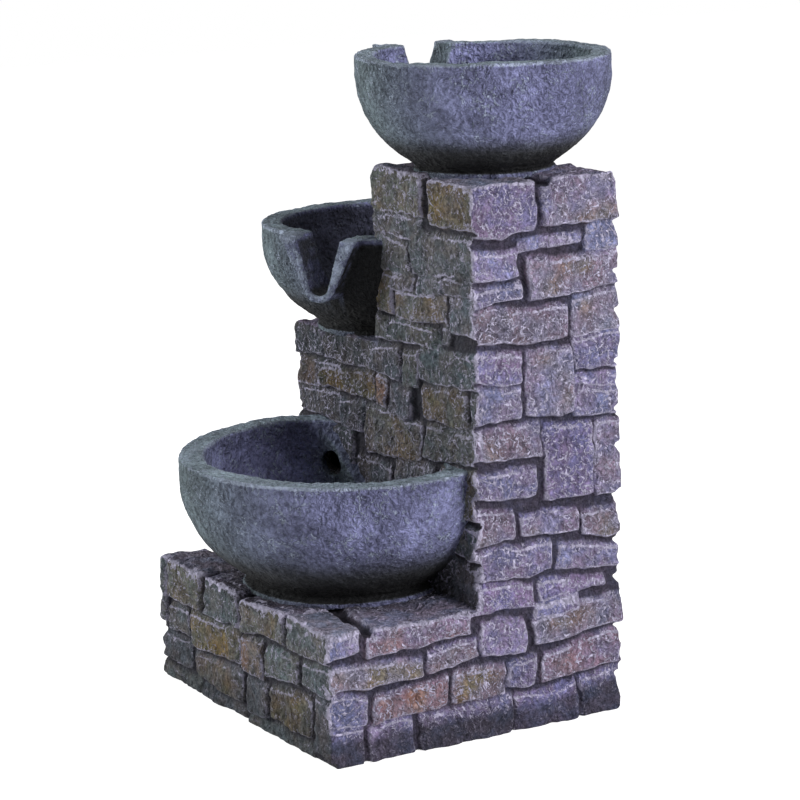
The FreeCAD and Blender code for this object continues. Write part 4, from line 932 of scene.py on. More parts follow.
def casting_field(faces, axes):
    """Field of the hollow casting over a lattice, negative in the stone."""
    x, y, z = np.meshgrid(*axes, indexing="ij", sparse=True)
    relief = {name: face.on_grid(axes) for name, face in faces.items()}
    bulge = CORNER_BULGE * smooth((CORNER_REACH + Y_FRONT - y) / CORNER_REACH)

    def mass(left, front, top):
        across = np.maximum(left - x, x - X_RIGHT - relief["right"])
        depth = np.maximum(front - y, y - Y_BACK - relief["back"])
        sides = soft_max(across, depth, CORNER_ROUND)
        return soft_max(sides, np.maximum(Z_EDGE - z, top), CORNER_ROUND)

    left, front = X_LEFT - relief["left"], Y_FACE - relief["column"]
    base = mass(left - bulge, Y_FRONT - relief["base"], z - Z_BASE - relief["base_top"])
    middle = mass(left, front, z - Z_MIDDLE - relief["shelf"])
    tall = mass(X_SPLIT - relief["split"], front, z - Z_TALL - relief["crown"])
    inner_x = slab(x, X_LEFT + WALL, X_RIGHT - WALL)
    inner_y = slab(y, Y_FACE + WALL, Y_BACK - WALL)
    ledge_top = Z_BASE - WALL
    under = all_of(inner_x, slab(y, Y_FRONT + WALL, Y_BACK - WALL), z - ledge_top)
    chamber = all_of(inner_x, inner_y, z - (Z_MIDDLE - WALL))
    shaft = all_of(slab(x, X_SPLIT + WALL, X_RIGHT - WALL), inner_y, z - (Z_TALL - WALL))
    ledge = all_of(-np.maximum(inner_x, inner_y) - LEDGE_WIDTH,
                   slab(z, ledge_top - LEDGE_HEIGHT, ledge_top), Y_FACE - y)
    post = all_of(X_RIGHT - WALL - POST_SIZE - np.abs(x), Y_BACK - WALL - POST_SIZE - np.abs(y),
                  slab(z, POST_LOW, POST_HIGH))
    hollow = all_of(any_of(under, chamber, shaft), -ledge, -post)
    door = np.maximum(np.abs(x - DOOR_X) - DOOR_WIDTH / 2, np.abs(z - DOOR_Z) - DOOR_HEIGHT / 2)
    through_back = Y_BACK - WALL - CUT_PAST - y
    opening = np.maximum(door, through_back)
    rebate = np.maximum(door - DOOR_LAP, Y_BACK - DOOR_RECESS - y)
    lead = np.hypot(x - GROMMET_X, z - GROMMET_Z) - GROMMET_RADIUS
    lead = np.maximum(lead, through_back)
    drain = np.maximum(return_tunnel(x, y, z), y - Y_FACE - WALL - CUT_PAST)
    stem = np.maximum(fitting_bore(x, y), Z_TALL - WALL - CUT_PAST - z)
    body = any_of(base, middle, tall)
    for cut in (hollow, opening, rebate, lead, drain, stem):
        body = np.maximum(body, -cut)
    return body.astype(float)


# Which side a vertex belongs to, the rubbed edges between sides, and the painted shade round the
# lower bowl's foot and low on the front.
SIDE_NEAR, SIDE_BEYOND, SIDE_TURN, SIDE_OVER = 5.2, 4.0, 5.0, 2.0
RUB_TURN, RUB_REACH, RUB_LOWEST = 0.15, 5.0, 18.0
RIGHT_SIDE, FRONT_SIDE, COLUMN_SIDE = (0, X_RIGHT, 1), (1, Y_FRONT, -1), (1, Y_FACE, -1)
BASE_SIDE, CROWN_SIDE = (2, Z_BASE, 1), (2, Z_TALL, 1)
RUBBED_EDGES = [
    (RIGHT_SIDE, FRONT_SIDE), (RIGHT_SIDE, COLUMN_SIDE), (RIGHT_SIDE, CROWN_SIDE),
    (RIGHT_SIDE, BASE_SIDE), (FRONT_SIDE, BASE_SIDE), (COLUMN_SIDE, CROWN_SIDE),
]
# Painted shade on the base top round the lower bowl's foot, then low on the front of the base.
BOWL_SHADE, BOWL_SHADE_START, BOWL_SHADE_REACH, BOWL_SHADE_RISE, BOWL_SHADE_HEIGHT = 0.75, 3.0, 26.0, 4.0, 36.0
LOWEST_SHADE, LOWEST_DRY, LOWEST_HEIGHT, LOWEST_DEPTH, LOWEST_TURN = 0.4, 0.6, 36.0, 6.0, -0.3


def paint_casting(mesh, faces):
    """Stores on each vertex the paint of the side that it belongs to, with painted shade round the
    lower bowl's foot and low on the front.
    """
    points, normals = mesh_points(mesh)
    count = len(points)
    best = np.full(count, np.inf)
    tint = np.tile(bpy.context.scene.fountain_stone.raw, (count, 1))
    wear, joint, dry = np.zeros((3, count))
    edge = np.full(count, EDGE_FAR)
    for face in faces.values():
        u, v = points[:, face.others[0]], points[:, face.others[1]]
        away = np.abs(points[:, face.axis] - face.plane)
        beyond = np.maximum(slab(u, *face.span), slab(v, *face.rise))
        score = (away - SIDE_TURN * face.sign * normals[:, face.axis]
                 + 2 * np.maximum(beyond - SIDE_OVER, 0))
        mine = (away < SIDE_NEAR) & (beyond < SIDE_BEYOND) & (score < best)
        best = np.where(mine, score, best)
        for values, store in ((face.wear, wear), (face.joint, joint), (face.dry, dry),
                              (face.edge, edge), (face.colour, tint)):
            store[mine] = face.sample(values, u[mine], v[mine])
    x, y, z = points.T
    for (first, plane, way), (second, other, up) in RUBBED_EDGES:
        away = np.hypot(points[:, first] - plane, points[:, second] - other)
        turned = (way * normals[:, first] > RUB_TURN) & (up * normals[:, second] > RUB_TURN)
        rubbed = (away < RUB_REACH) & turned & (joint < 0.5) & (z > RUB_LOWEST)
        edge, wear, dry = np.where(rubbed, 1.0, (edge, wear, dry))
    # Painted shade on the base top round the lower bowl's foot.
    bowl = BOWLS["lower_bowl"]
    from_foot = np.hypot(x - bowl.x, y - bowl.y) - bowl.foot
    bowl_shade = 1 - smooth((from_foot - BOWL_SHADE_START) / BOWL_SHADE_REACH)
    bowl_shade *= 1 - smooth((z - Z_BASE - BOWL_SHADE_RISE) / BOWL_SHADE_HEIGHT)
    tint *= 1 - BOWL_SHADE * (bowl_shade * (z > Z_BASE - BOWL_SHADE_RISE))[:, None]
    # Painted shade low on the front of the base, near the floor, where the pale brush thins out
    # too.
    lowest = smooth(1 - z / LOWEST_HEIGHT) * (y < Y_FRONT + LOWEST_DEPTH)
    lowest = lowest * (normals[:, 1] < LOWEST_TURN)
    tint *= 1 - LOWEST_SHADE * lowest[:, None]
    dry *= 1 - LOWEST_DRY * lowest
    stored = {"tint": tint, "wear": wear, "joint": joint, "dry": dry, "edge": edge}
    for name, values in stored.items():
        put_attribute(mesh, name, values)


LATTICE_MARGIN, LATTICE_BELOW, LATTICE_SHIFT = 6.0, 3.0, 0.37


class FOUNTAIN_OT_stone_body(bpy.types.Operator):
    """Builds the hollow dry-stone casting"""
    bl_idname = "fountain.stone_body"
    bl_label = "Stone casting"

    def execute(self, context):
        pitch = context.scene.fountain_stone.pitch
        faces = casting_faces()
        low = np.array([X_LEFT - LATTICE_MARGIN, Y_FRONT - LATTICE_MARGIN, Z_EDGE - LATTICE_BELOW])
        low = low + LATTICE_SHIFT
        high = np.array([X_RIGHT, Y_BACK, Z_TALL]) + LATTICE_MARGIN
        axes = [np.arange(low[i], high[i], pitch, dtype=np.float32) for i in range(3)]
        points, quads = surface_net(unpinched(casting_field(faces, axes)), low, pitch)
        piece = new_object("stone_casting", new_mesh("stone_casting", points, quads))
        without_crumbs(piece.data)
        thin = piece.modifiers.new("thin", "DECIMATE")
        thin.ratio = min(1.0, STONE_TRIANGLES / (2 * len(quads)))
        mesh = settled_mesh(piece)
        paint_casting(mesh, faces)
        smooth_shaded(mesh, sharp_degrees=60)
        mesh.materials.append(stone_material())
        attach(piece, FIXED)
        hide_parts("stone_body")
        return {"FINISHED"}


# Bowls, millimetres: the hollow and the foot, uneven turning, spouts, seams with the columns.
FLOOR, DISH, FOOT_STEP, OUTER_FALL, INNER_FALL = 10.0, 1.5, 2.0, 0.999, 0.9999
WAIST_SHARE, FLANGE_TOP, FLANGE_SLOPE = 0.55, 2.8, 1.0
RIM_ROUND, FOOT_ROUND, FOOT_SINK = 1.2, 1.0, 1.0
OVAL, LOBED, INNER_SHARE, RIM_SWAY, RIM_SINK = 0.5, 0.35, 0.6, 0.5, 0.3
SPOUT_BEYOND, SPOUT_BED, SPOUT_DEPTH = 6.0, 9.0, 29.0
SPOUT_LIP, SPOUT_UNDER, SPOUT_CRISP = 9.0, 3.4, 0.5
BEAK_ROUND, BEAK_BLEND, CHANNEL_ROUND = 6.0, 2.0, 3.5
CORNER_FILLET, BURY = 16.0, 4.0
PLASTER_X, PLASTER_SLOPE, PLASTER_FADE, PLASTER_KEY, PLASTER_PROUD = -22.0, 1.4, 10.0, 3.5, 6.5
PROBE, STEEP_ENOUGH, LONGEST_SHIFT, TINY = 0.05, 0.3, 0.5, 1e-6
HAND_WAVES = (0.45, 24, False), (0.25, 11, False)
GRAIN_BASE, GRAIN_WAVES = 1.4, ((-3, 5.0, True), (-2, 3.0, True))
BOWL_SEED, SEED_STEP = 200, 20

# Paint of the bowls: the pale rim, painted shade with a dark wash up from the foot, painted
# highlights, painted light inside and painted shade at the spout.
GRAIN_FROM, GRAIN_FULL, GRAIN_MOST, FACE_WEAR = 0.05, 0.18, 0.7, 0.7
RIM_DROP, RIM_SOFT, RIM_WIDTH, RIM_INSIDE = 0.6, 1.4, 1.1, 0.5
FOOT_LIGHT, SHADE_FADE_FROM = 0.08, 6.0
FLANGE_HIGHLIGHT, FLANGE_HIGHLIGHT_TOP, FLANGE_HIGHLIGHT_FADE = 0.8, 2.4, 0.8
RIM_HIGHLIGHT, RIM_HIGHLIGHT_HEIGHT, RIM_HIGHLIGHT_FADE = 0.7, 1.6, 1.0
INSIDE_OVER, INSIDE_FADE, INSIDE_DROP, INSIDE_RIM = 3.0, 2.5, 1.5, 2.0
# Painted shade behind the spout and in its channel.
BEHIND_SHADE, BEHIND_OVER, BEHIND_FADE, BEHIND_DROP, BEHIND_RIM = 0.85, 0.8, 1.2, 2.0, 3.0
CHANNEL_SHADE, CHANNEL_OVER, CHANNEL_FADE = 0.55, 0.6, 1.0
FACE_DEPTH, FACE_FADE = 1.8, 0.8


class Bowl(NamedTuple):
    """One stone bowl, millimetres about the casting's middle, and what follows from its sizes."""
    x: float
    y: float
    z: float
    radius: float
    height: float
    wall: float
    band: float  # upright part under the rim
    foot: float  # radius of the foot
    rise: float  # height of the foot
    waist: float  # how far the foot is drawn in
    flange: float  # how far its lowest edge stands out again
    inside: float  # painted light inside: below 1 painted shade, above 1 a painted brightening
    fade: float  # share of the height over which the painted shade and wash at the foot fade out
    spout: float = None  # angle of the spout
    mouth: float = 0.0  # width of the spout's channel at the rim
    crevice: bool = False  # whether painted shade also lies in the spout and behind it

    def profile(self, up):
        """Outer and inner radius at a height above the foot."""
        belly = self.height - self.band
        shoulder = self.foot + FOOT_STEP
        depth = (belly - self.rise) / math.sqrt(1 - (shoulder / self.radius) ** 2)
        fall = np.clip((belly - up) / depth, 0, OUTER_FALL)
        outer = self.radius * np.sqrt(1 - fall ** 2)
        waist = shoulder - self.waist * smooth((self.rise - up) / (WAIST_SHARE * self.rise))
        waist = waist + self.flange * smooth((FLANGE_TOP - up) / FLANGE_SLOPE)
        outer = np.where(up < self.rise, waist, outer)
        fall = np.clip((belly - up) / (belly - FLOOR + DISH), 0, INNER_FALL)
        return outer, (self.radius - self.wall) * np.sqrt(1 - fall ** 2)

    def spout_shape(self, x, y, up):
        """Distance out along the spout, distance aside, half widths of its channel and its lips."""
        dx, dy = x - self.x, y - self.y
        aim = math.radians(self.spout)
        out = dx * math.cos(aim) + dy * math.sin(aim)
        aside = -dx * math.sin(aim) + dy * math.cos(aim)
        level = (up - self.height + SPOUT_DEPTH) / SPOUT_DEPTH
        half = SPOUT_BED / 2 + (self.mouth - SPOUT_BED) / 2 * level
        lip = SPOUT_UNDER + (SPOUT_LIP - SPOUT_UNDER) * np.clip(level, 0, 1)
        return out, aside, half, half + lip

    def field(self, x, y, z):
        """Field of the bowl, negative in the stone."""
        dx, dy, up = x - self.x, y - self.y, z - self.z
        across, turn = np.hypot(dx, dy), np.arctan2(dy, dx)
        wobble = OVAL * np.sin(2 * turn + self.z) + LOBED * np.sin(5 * turn + 1.3 * self.x)
        rim = self.height + RIM_SWAY * np.sin(3 * turn + self.x) - RIM_SINK
        outer, inner = self.profile(up)
        solid = soft_max(across - outer - wobble, up - rim, RIM_ROUND)
        solid = soft_max(solid, -up - FOOT_SINK, FOOT_ROUND)
        hollow = np.maximum(across - inner - INNER_SHARE * wobble, FLOOR - up)
        if self.spout is None:
            edge = PLASTER_X + PLASTER_SLOPE * (RETURN_Z - z)
            proud = PLASTER_PROUD * smooth((edge - x) / PLASTER_FADE)
            hollow = soft_max(hollow, y - Y_FACE - PLASTER_KEY + proud, CORNER_FILLET)
            solid = soft_max(solid, -hollow, RIM_ROUND)
        else:
            out, aside, half, lips = self.spout_shape(x, y, up)
            bed = self.height - SPOUT_DEPTH
            beak = soft_max(np.abs(aside) - lips, bed - SPOUT_UNDER - up, BEAK_ROUND)
            beak = soft_max(beak, out - (self.radius + SPOUT_BEYOND), SPOUT_CRISP)
            beak = soft_max(beak, up - rim, SPOUT_CRISP)
            beak = np.maximum(beak, self.radius - 2 * self.wall - out)
            channel = soft_max(np.abs(aside) - half, bed - up, CHANNEL_ROUND)
            channel = np.maximum(channel, self.radius - 3 * self.wall - out)
            solid = -soft_max(-solid, -beak, BEAK_BLEND)
            solid = soft_max(solid, -hollow, RIM_ROUND)
            solid = soft_max(solid, -channel, SPOUT_CRISP)
        deep = slab(y, Y_FACE + BURY, Y_BACK - BURY)
        columns = all_of(slab(x, X_LEFT + BURY, X_RIGHT - BURY), deep, z - Z_MIDDLE + BURY)
        tall = all_of(slab(x, X_SPLIT + BURY, X_RIGHT - BURY), deep, z - Z_TALL + BURY)
        stem = np.maximum(fitting_bore(x, y), Z_TALL - FITTING_SINK - z)
        return all_of(solid, -any_of(columns, tall), -return_tunnel(x, y, z), -stem)

    def drawn_to_skin(self, points):
        """Points moved on to the bowl's exact surface, with its slope there."""
        for _ in range(2):
            value = self.field(*points.T)
            slope = np.stack([
                self.field(*(points + step).T) - self.field(*(points - step).T)
                for step in PROBE * np.eye(3)
            ], 1) / (2 * PROBE)
            shift = slope * (value / np.maximum((slope ** 2).sum(1), STEEP_ENOUGH))[:, None]
            size = np.linalg.norm(shift, axis=1, keepdims=True)
            points = points - shift * np.minimum(1, LONGEST_SHIFT / np.maximum(size, TINY))
        length = np.linalg.norm(slope, axis=1, keepdims=True)
        return points, slope / np.maximum(length, TINY)

    def rim_line(self, across, up):
        """1 along the rim's outer edge, where the pale paint is rubbed on, less inside."""
        outer, inner = self.profile(np.minimum(up, self.height))
        below = np.maximum(self.height - RIM_DROP - up, 0)
        outside, inside = (smooth(RIM_SOFT - (below + np.maximum(away, 0)) / RIM_WIDTH)
                           for away in (outer - across, across - inner))
        return np.maximum(outside, RIM_INSIDE * inside)

    def wash(self, x, y, across, up):
        """Painted light on the bowl: painted shade with a dark wash at the foot, painted highlights
        on the flange and rim top, the bowl's own level inside.
        """
        _, inner = self.profile(up)
        below = smooth((self.height - INSIDE_DROP - up) / INSIDE_RIM)
        within = smooth((inner + INSIDE_OVER - across) / INSIDE_FADE) * below
        # Painted shade with a dark wash up from the foot, lifted to a painted highlight along the
        # flange's lowest edge, and a painted highlight on the rim's top.
        risen = smooth((up - SHADE_FADE_FROM) / (self.fade * self.height))
        clear = FOOT_LIGHT + (1 - FOOT_LIGHT) * risen
        clear = np.maximum(clear, FLANGE_HIGHLIGHT * smooth((FLANGE_HIGHLIGHT_TOP - up) / FLANGE_HIGHLIGHT_FADE))
        at_rim = smooth((up - self.height + RIM_HIGHLIGHT_HEIGHT) / RIM_HIGHLIGHT_FADE)
        clear = clear * (1 + RIM_HIGHLIGHT * at_rim)
        # Painted shade in the spout's channel and on the bowl behind the spout, next to the column.
        if self.crevice:
            out, aside, half, lips = self.spout_shape(x, y, up)
            behind = smooth((aside - lips + BEHIND_OVER) / BEHIND_FADE) * (out > 0)
            behind = behind * smooth((self.height - BEHIND_DROP - up) / BEHIND_RIM)
            channel = smooth((half + CHANNEL_OVER - np.abs(aside)) / CHANNEL_FADE)
            channel = channel * (out > 0) * below
            clear = clear * (1 - BEHIND_SHADE * behind) * (1 - CHANNEL_SHADE * channel)
        # Inside, the painted light is the bowl's own level: below 1 painted shade, above 1 painted
        # brightening.
        return clear * (1 - within) + self.inside * within

    def spout_face(self, x, y, up):
        """1 on the flat end of the spout, where the pale paint is rubbed on."""
        if self.spout is None:
            return np.zeros(len(up))
        out = self.spout_shape(x, y, up)[0]
        return smooth((out - self.radius - SPOUT_BEYOND + FACE_DEPTH) / FACE_FADE)


# The inside value of each bowl is painted light: painted shade in the middle bowl, painted
# brightening in the top one.
BOWLS = {
    "lower_bowl": Bowl(x=4.5, y=-26.0, z=65.0, radius=80.5, height=67.4, wall=12.5, band=12.0,
                       foot=49.0, rise=8.0, waist=5.0, flange=4.6, inside=1.0, fade=0.5),
    "middle_bowl": Bowl(x=-50.0, y=36.0, z=180.0, radius=66.0, height=55.4, wall=10.5, band=8.0,
                        foot=38.0, rise=6.0, waist=3.0, flange=1.5, inside=0.58, fade=0.5,
                        spout=-60.0, mouth=26.0, crevice=True),
    "top_bowl": Bowl(x=40.0, y=38.0, z=270.0, radius=61.5, height=57.0, wall=9.5, band=9.0,
                     foot=33.0, rise=5.0, waist=3.0, flange=2.0, inside=1.3, fade=0.36,
                     spout=180.0, mouth=28.0),
}
BOWL_REACH, BOWL_BELOW, BOWL_ABOVE = 10.0, 4.0, 5.0


def convexity(points, normals, quads):
    """How far each point stands out of the middle of its neighbours."""
    total = np.zeros_like(points)
    count = np.zeros(len(points))
    for a, b in ((0, 1), (1, 2), (2, 3), (3, 0)):
        for start, end in ((quads[:, a], quads[:, b]), (quads[:, b], quads[:, a])):
            np.add.at(total, start, points[end])
            np.add.at(count, start, 1)
    return ((points - total / count[:, None]) * normals).sum(1)


class FOUNTAIN_OT_bowls(bpy.types.Operator):
    """Builds the three stone bowls"""
    bl_idname = "fountain.bowls"
    bl_label = "Bowls"

    def execute(self, context):
        look = context.scene.fountain_bowl
        material = bowl_material()
        for n, (node, bowl) in enumerate(BOWLS.items()):
            reach = bowl.radius + BOWL_REACH
            low = np.array([bowl.x - reach, bowl.y - reach, bowl.z - BOWL_BELOW])
            high = (bowl.x + reach, bowl.y + reach, bowl.z + bowl.height + BOWL_ABOVE)
            axes = [np.arange(low[i], high[i], look.pitch, dtype=np.float32) for i in range(3)]
            field = bowl.field(*np.meshgrid(*axes, indexing="ij", sparse=True))
            points, quads = surface_net(field, low, look.pitch)
            points, normals = bowl.drawn_to_skin(points)
            up = points[:, 2] - bowl.z
            seed = BOWL_SEED + SEED_STEP * n
            hand = layered(0.0, points, seed, *HAND_WAVES)
            grain = layered(GRAIN_BASE, points, seed + len(HAND_WAVES), *GRAIN_WAVES)
            points = points + normals * (hand + look.grain * grain)[:, None]
            raised = (convexity(points, normals, quads) - GRAIN_FROM) / GRAIN_FULL
            raised = np.clip(raised, 0, GRAIN_MOST)
            x, y, _ = points.T
            across = np.hypot(x - bowl.x, y - bowl.y)
            face = bowl.spout_face(x, y, up)
            mesh = new_mesh(node + "_stone", points, quads)
            rubbed = np.maximum(raised, bowl.rim_line(across, up))
            put_attribute(mesh, "wear", np.maximum(rubbed, FACE_WEAR * face))
            # Painted light, with the spout's flat end kept out of the painted shade.
            put_attribute(mesh, "wash", np.maximum(bowl.wash(x, y, across, up), face))
            # Painted light: how far the surface faces right, which turns the bowl violet.
            put_attribute(mesh, "turn", normals[:, 0])
            smooth_shaded(mesh, sharp_degrees=75)
            mesh.materials.append(material)
            piece = new_object(node + "_stone", mesh)
            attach(piece, FIXED)
            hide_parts(node)
        return {"FINISHED"}


def plate_screw_set(material):
    """Four domed screws with a cross recess and a thread, heads down under the bottom plate."""
    bench = ShapeBench(
        "plate_screw_set", Spacing_X=2 * SCREW_X, Spacing_Y=2 * SCREW_Y, Head=6.0, Head_Height=1.7,
        Dome=0.6, Shank=3.0, Length=14.4, Pitch=1.25, Thread=0.28, Recess=3.2, Recess_Width=0.8,
        Recess_Depth=1.6, Head_Middle=PAD_THICKNESS - 0.85, Sunk=0.4, Tip=2.5)
    given, half = bench.given, bench.half
    share = (bench.across / half("Head")) ** 2
    below = bench.math("SUBTRACT", 0.5, bench.z / given["Head Height"], clamp=True)
    head = bench.moved(bench.drum("Head", "Head Height", 36, 3, 6),
                       rise=share * below * given["Dome"])
    under = given["Head Height"] * -0.5
    depth, long, wide = given["Recess Depth"], given["Recess"], given["Recess Width"]
    for size in ((long, wide, depth), (wide, long, depth * 0.9)):
        head = bench.cut(head, bench.lifted(bench.bar(*size), under))
    wind = bench.z / given["Pitch"] + bench.turn / math.tau
    root = abs(bench.math("FRACT", wind) - 0.5) * given["Thread"] / half("Shank")
    left = bench.math("DIVIDE", half("Length") - bench.z, given["Tip"], clamp=True)
    shank = bench.moved(bench.drum("Shank", "Length", 20, 72, 1),
                        widen=(1.0 - root) * (left * 0.7 + 0.3))
    seat = half("Head Height") + (half("Length") - given["Sunk"])
    screw = bench.together(head, bench.lifted(shank, seat))
    return bench.made(bench.lifted(bench.at_corners(screw), given["Head Middle"]), material)


def ribbed_pad_set(material):
    """Four rubber pads with rounded rims and ring-shaped ribs underneath."""
    bench = ShapeBench(
        "ribbed_pad_set", Spacing_X=2 * PAD_X, Spacing_Y=2 * PAD_Y, Pad=24.0,
        Thickness=PAD_THICKNESS, Rib_Pitch=3.2, Rib_Depth=0.7, Ribbed=9.6)
    given, half = bench.given, bench.half
    wave = bench.math("COSINE", bench.across / given["Rib Pitch"] * math.tau)
    groove = (0.5 - wave * 0.5) * bench.math("LESS_THAN", bench.across, given["Ribbed"])
    underneath = bench.math("LESS_THAN", bench.z, given["Thickness"] * -0.49)
    rim = 1.0 - (abs(bench.z) / half("Thickness")) ** 5 * 0.05
    pad = bench.moved(bench.drum("Pad", "Thickness", 64, 8, 30), widen=rim,
                      rise=groove * underneath * given["Rib Depth"])
    return bench.made(bench.lifted(bench.at_corners(pad), half("Thickness")), material)


KNURLS = 24


def door_pull(material):
    """Knurled knob on a neck, along +Z from the door's outer face."""
    bench = ShapeBench("door_pull", Neck=9.0, Neck_Length=5.2, Knob=14.0, Knob_Length=4.5,
                       Knurl=0.5, Sunk=0.5)
    given, half = bench.given, bench.half
    rim = 1.0 - (abs(bench.z) / half("Knob Length")) ** 6 * 0.08
    groove = abs(bench.math("COSINE", bench.turn * (KNURLS / 2))) * given["Knurl"] / half("Knob")
    knob = bench.moved(bench.drum("Knob", "Knob Length", 6 * KNURLS, 8, 5), widen=rim - groove)
    neck = bench.lifted(bench.drum("Neck", "Neck Length", 48, 1, 1),
                        half("Neck Length") - given["Sunk"])
    seat = half("Knob Length") + given["Neck Length"] - given["Sunk"]
    return bench.made(bench.together(neck, bench.lifted(knob, seat)), material)


# Plain finishes: colour, roughness, scale of the grain, its depth in metres, metal, colour spread.
FINISHES = {
    "raw_resin": (srgb(150, 144, 134), 0.85, 900, 0.0003, 0.0, 0.1),
    "plate_plastic": (srgb(44, 44, 45), 0.6, 1500, 0.0002, 0.0, 0.15),
    "door_plastic": (srgb(74, 74, 78), 0.65, 1300, 0.0003, 0.0, 0.14),
    "pump_plastic": (srgb(30, 30, 32), 0.45, 1700, 0.00012, 0.0, 0.2),
    "dial_plastic": (srgb(48, 74, 128), 0.42, 1700, 0.0001, 0.0, 0.1),
    "impeller_plastic": (srgb(226, 226, 222), 0.4, 1700, 0.0001, 0.0, 0.05),
    "potting_resin": (srgb(22, 22, 23), 0.2, 500, 0.0002, 0.0, 0.2),
    "black_rubber": (srgb(30, 30, 30), 0.8, 1600, 0.0002, 0.0, 0.2),
    "foam": (srgb(52, 52, 54), 0.95, 1100, 0.0009, 0.0, 0.3),
    "hose_silicone": (srgb(206, 212, 208), 0.38, 700, 0.0001, 0.0, 0.06),
    "steel": (srgb(176, 177, 178), 0.34, 2200, 0.00006, 1.0, 0.08),
    "core_steel": (srgb(126, 127, 130), 0.42, 2200, 0.0001, 1.0, 0.12),
    "copper": (srgb(196, 122, 80), 0.36, 2200, 0.0001, 1.0, 0.1),
    "magnet_ferrite": (srgb(62, 62, 64), 0.6, 1500, 0.0002, 0.0, 0.15),
    "shaft_ceramic": (srgb(238, 237, 232), 0.18, 1500, 0.00003, 0.0, 0.03),
}


@functools.cache
def finish(slot):
    """Material of one of the record's plain finishes."""
    return moulded_material(slot, *FINISHES[slot])


def door_shell():
    """Flanged plate with a hollow skirt that fills the opening in the back."""
    shell = bmesh.new()
    lap = 2 * (DOOR_LAP - DOOR_PLAY)
    size = [DOOR_WIDTH + lap, DOOR_FLANGE, DOOR_HEIGHT + lap, 1]
    middle = Matrix.Translation((DOOR_X, Y_BACK - DOOR_FLANGE / 2, DOOR_Z))
    bmesh.ops.create_cube(shell, size=1.0, matrix=middle @ Matrix.Diagonal(size))
    face = min(shell.faces, key=lambda f: f.calc_center_median().y)
    for margin, depth in ((DOOR_LAP, -DOOR_SKIRT), (DOOR_SKIRT_WALL, DOOR_SKIRT)):
        bmesh.ops.inset_region(shell, faces=[face], thickness=margin)
        face = bmesh.ops.extrude_discrete_faces(shell, faces=[face])["faces"][0]
        bmesh.ops.translate(shell, vec=(0, depth, 0), verts=face.verts)
    mesh = bpy.data.meshes.new("pump_door")
    shell.to_mesh(mesh)
    shell.free()
    mesh.transform(Matrix.Translation(MIDDLE * MM) @ Matrix.Scale(MM, 4))
    return mesh


class FOUNTAIN_OT_rear_door(bpy.types.Operator):
    """Builds the rear door with its skirt and its knurled pull"""
    bl_idname = "fountain.rear_door"
    bl_label = "Rear door"

    def execute(self, context):
        piece = new_object("pump_door", door_shell())
        edges = piece.modifiers.new("edges", "BEVEL")
        edges.width, edges.segments, edges.angle_limit = DOOR_EDGE * MM, 3, math.radians(40)
        door = settled_mesh(piece)
        pull = door_pull(finish("door_plastic"))
        place = Vector(MIDDLE * MM) + Vector((DOOR_X, Y_BACK, DOOR_Z)) * MM
        pull.data.transform(Matrix.Translation(place) @ Matrix.Rotation(-math.pi / 2, 4, "X"))
        both = bmesh.new()
        both.from_mesh(door)
        both.from_mesh(pull.data)
        both.to_mesh(door)
        both.free()
        bpy.data.objects.remove(pull)
        door.materials.clear()
        door.materials.append(finish("door_plastic"))
        smooth_shaded(door, sharp_degrees=35)
        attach(piece, "rear_door")
        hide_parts("rear_door")
        return {"FINISHED"}


UNDERSIDE = (
    (plate_screw_set, "plate_screws", "steel"),
    (ribbed_pad_set, "rubber_feet", "black_rubber"),
)


class FOUNTAIN_OT_underside(bpy.types.Operator):
    """Builds the screws and the rubber pads under the casting"""
    bl_idname = "fountain.underside"
    bl_label = "Screws and pads"

    def execute(self, context):
        for make, node, slot in UNDERSIDE:
            piece = make(finish(slot))
            piece.data.transform(Matrix.Translation(MIDDLE * MM))
            smooth_shaded(piece.data, sharp_degrees=40)
            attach(piece, FIXED)
            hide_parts(node)
        return {"FINISHED"}


class FOUNTAIN_OT_finishes(bpy.types.Operator):
    """Gives each carried-over part its finish"""
    bl_idname = "fountain.finishes"
    bl_label = "Small parts"

    def execute(self, context):
        for part in frame["record"]["subparts"]:
            if part["material_slot"] in FINISHES:
                node = frame["nodes"][part["node"]]
                node.data.materials.clear()
                node.data.materials.append(finish(part["material_slot"]))
        return {"FINISHED"}


def camera_matrix():
    """Place and aim of the photograph's camera."""
    turn, drop, roll = map(math.radians, (CAMERA_TURN, CAMERA_DROP, CAMERA_ROLL))
    aim = Matrix.Rotation(turn, 4, "Z") @ Matrix.Rotation(math.pi / 2 - drop, 4, "X")
    return Matrix.Translation(CAMERA_EYE) @ aim @ Matrix.Rotation(roll, 4, "Z")


def area_light(name, place, size, power, colour):
    """Round lamp that is aimed at the fountain."""
    light = bpy.data.lights.new(name, "AREA")
    light.shape, light.size, light.energy, light.color = "DISK", size, power, colour
    lamp = new_object(name, light)
    lamp.location = place
    aim = Vector(LIGHT_TARGET) - Vector(place)
    lamp.rotation_euler = aim.to_track_quat("-Z", "Y").to_euler()


def paper_material(colour):
    """White paper that takes shadows and looks white to the camera."""
    material = bpy.data.materials.new("floor_paper")
    material.use_nodes = True
    bench = Bench(material.node_tree)
    bench.tree.nodes.clear()
    paper = bench.wire("ShaderNodeBsdfDiffuse", {"Color": colour})
    glow = bench.wire("ShaderNodeEmission",
                      {"Color": FLOOR_GLOW, "Strength": bench.seen_directly()})
    both = bench.wire("ShaderNodeAddShader", {0: paper, 1: glow})
    bench.node("ShaderNodeOutputMaterial", {"Surface": both})
    return material


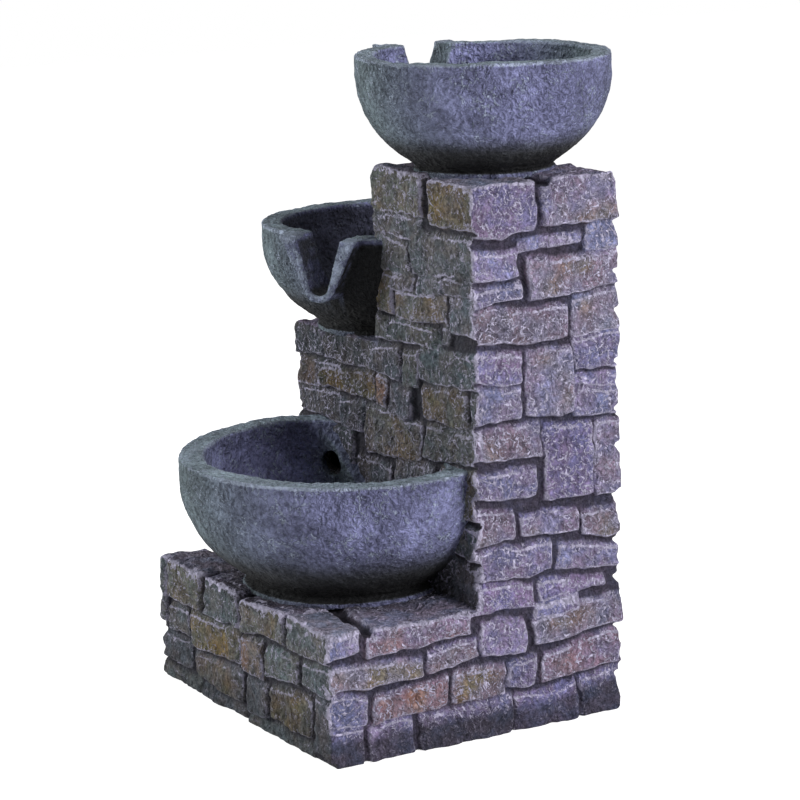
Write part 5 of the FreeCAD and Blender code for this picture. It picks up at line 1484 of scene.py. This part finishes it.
class FOUNTAIN_OT_stage(bpy.types.Operator):
    """Sets the floor, the light and the camera"""
    bl_idname = "fountain.stage"
    bl_label = "Stage"

    def execute(self, context):
        scene = context.scene
        look = scene.fountain_stage
        scene.view_settings.view_transform = "Standard"
        half = FLOOR_HALF
        mesh = bpy.data.meshes.new("floor")
        mesh.from_pydata([(-half, -half, 0), (half, -half, 0), (half, half, 0), (-half, half, 0)],
                         [], [(0, 1, 2, 3)])
        mesh.materials.append(paper_material(look.floor))
        floor = new_object("floor", mesh)
        scene.world = bpy.data.worlds.new("studio")
        scene.world.use_nodes = True
        bench = Bench(scene.world.node_tree)
        sky = bench.tree.nodes["Background"].inputs
        bench.feed(sky["Color"], (1, 1, 1))
        bench.feed(sky["Strength"], bench.wire("ShaderNodeMapRange", {
            "Value": bench.seen_directly(), "To Min": look.ambient, "To Max": 1.0,
        }, "Result"))
        area_light("key", KEY_PLACE, KEY_SIZE, look.key, KEY_COLOUR)
        area_light("fill", FILL_PLACE, FILL_SIZE, look.fill, FILL_COLOUR)
        data = bpy.data.cameras.new("photo_view")
        data.sensor_width, data.lens = CAMERA_SENSOR, CAMERA_LENS
        data.clip_start, data.clip_end = CAMERA_NEAR, CAMERA_FAR
        scene.camera = new_object("photo_view", data)
        scene.camera.matrix_world = camera_matrix()
        return {"FINISHED"}


class FOUNTAIN_PT_panel(bpy.types.Panel):
    """Lists the pieces and their settings"""
    bl_label = "Tabletop Fountain"
    bl_idname = "FOUNTAIN_PT_panel"
    bl_space_type = "VIEW_3D"
    bl_region_type = "UI"
    bl_category = "Fountain"

    def draw(self, context):
        for operator in OPERATORS:
            self.layout.operator(operator.bl_idname)
        for group in GROUPS:
            box = self.layout.box()
            held = getattr(context.scene, group)
            for name in held.bl_rna.properties.keys():
                if name not in ("rna_type", "name"):
                    box.prop(held, name)


GROUPS = {
    "fountain_stone": FOUNTAIN_PG_stone,
    "fountain_bowl": FOUNTAIN_PG_bowl,
    "fountain_stage": FOUNTAIN_PG_stage,
}
OPERATORS = (
    FOUNTAIN_OT_stage, FOUNTAIN_OT_stone_body, FOUNTAIN_OT_bowls, FOUNTAIN_OT_rear_door,
    FOUNTAIN_OT_underside, FOUNTAIN_OT_finishes,
)
CLASSES = (*GROUPS.values(), *OPERATORS, FOUNTAIN_PT_panel)


def register():
    for kind in CLASSES:
        bpy.utils.register_class(kind)
    for name, kind in GROUPS.items():
        setattr(bpy.types.Scene, name, PointerProperty(type=kind))


def unregister():
    for name in GROUPS:
        delattr(bpy.types.Scene, name)
    for kind in reversed(CLASSES):
        bpy.utils.unregister_class(kind)


def main():
    register()
    for operator in OPERATORS:
        family, name = operator.bl_idname.split(".")
        getattr(getattr(bpy.ops, family), name)()


if __name__ == "__main__":
    main()
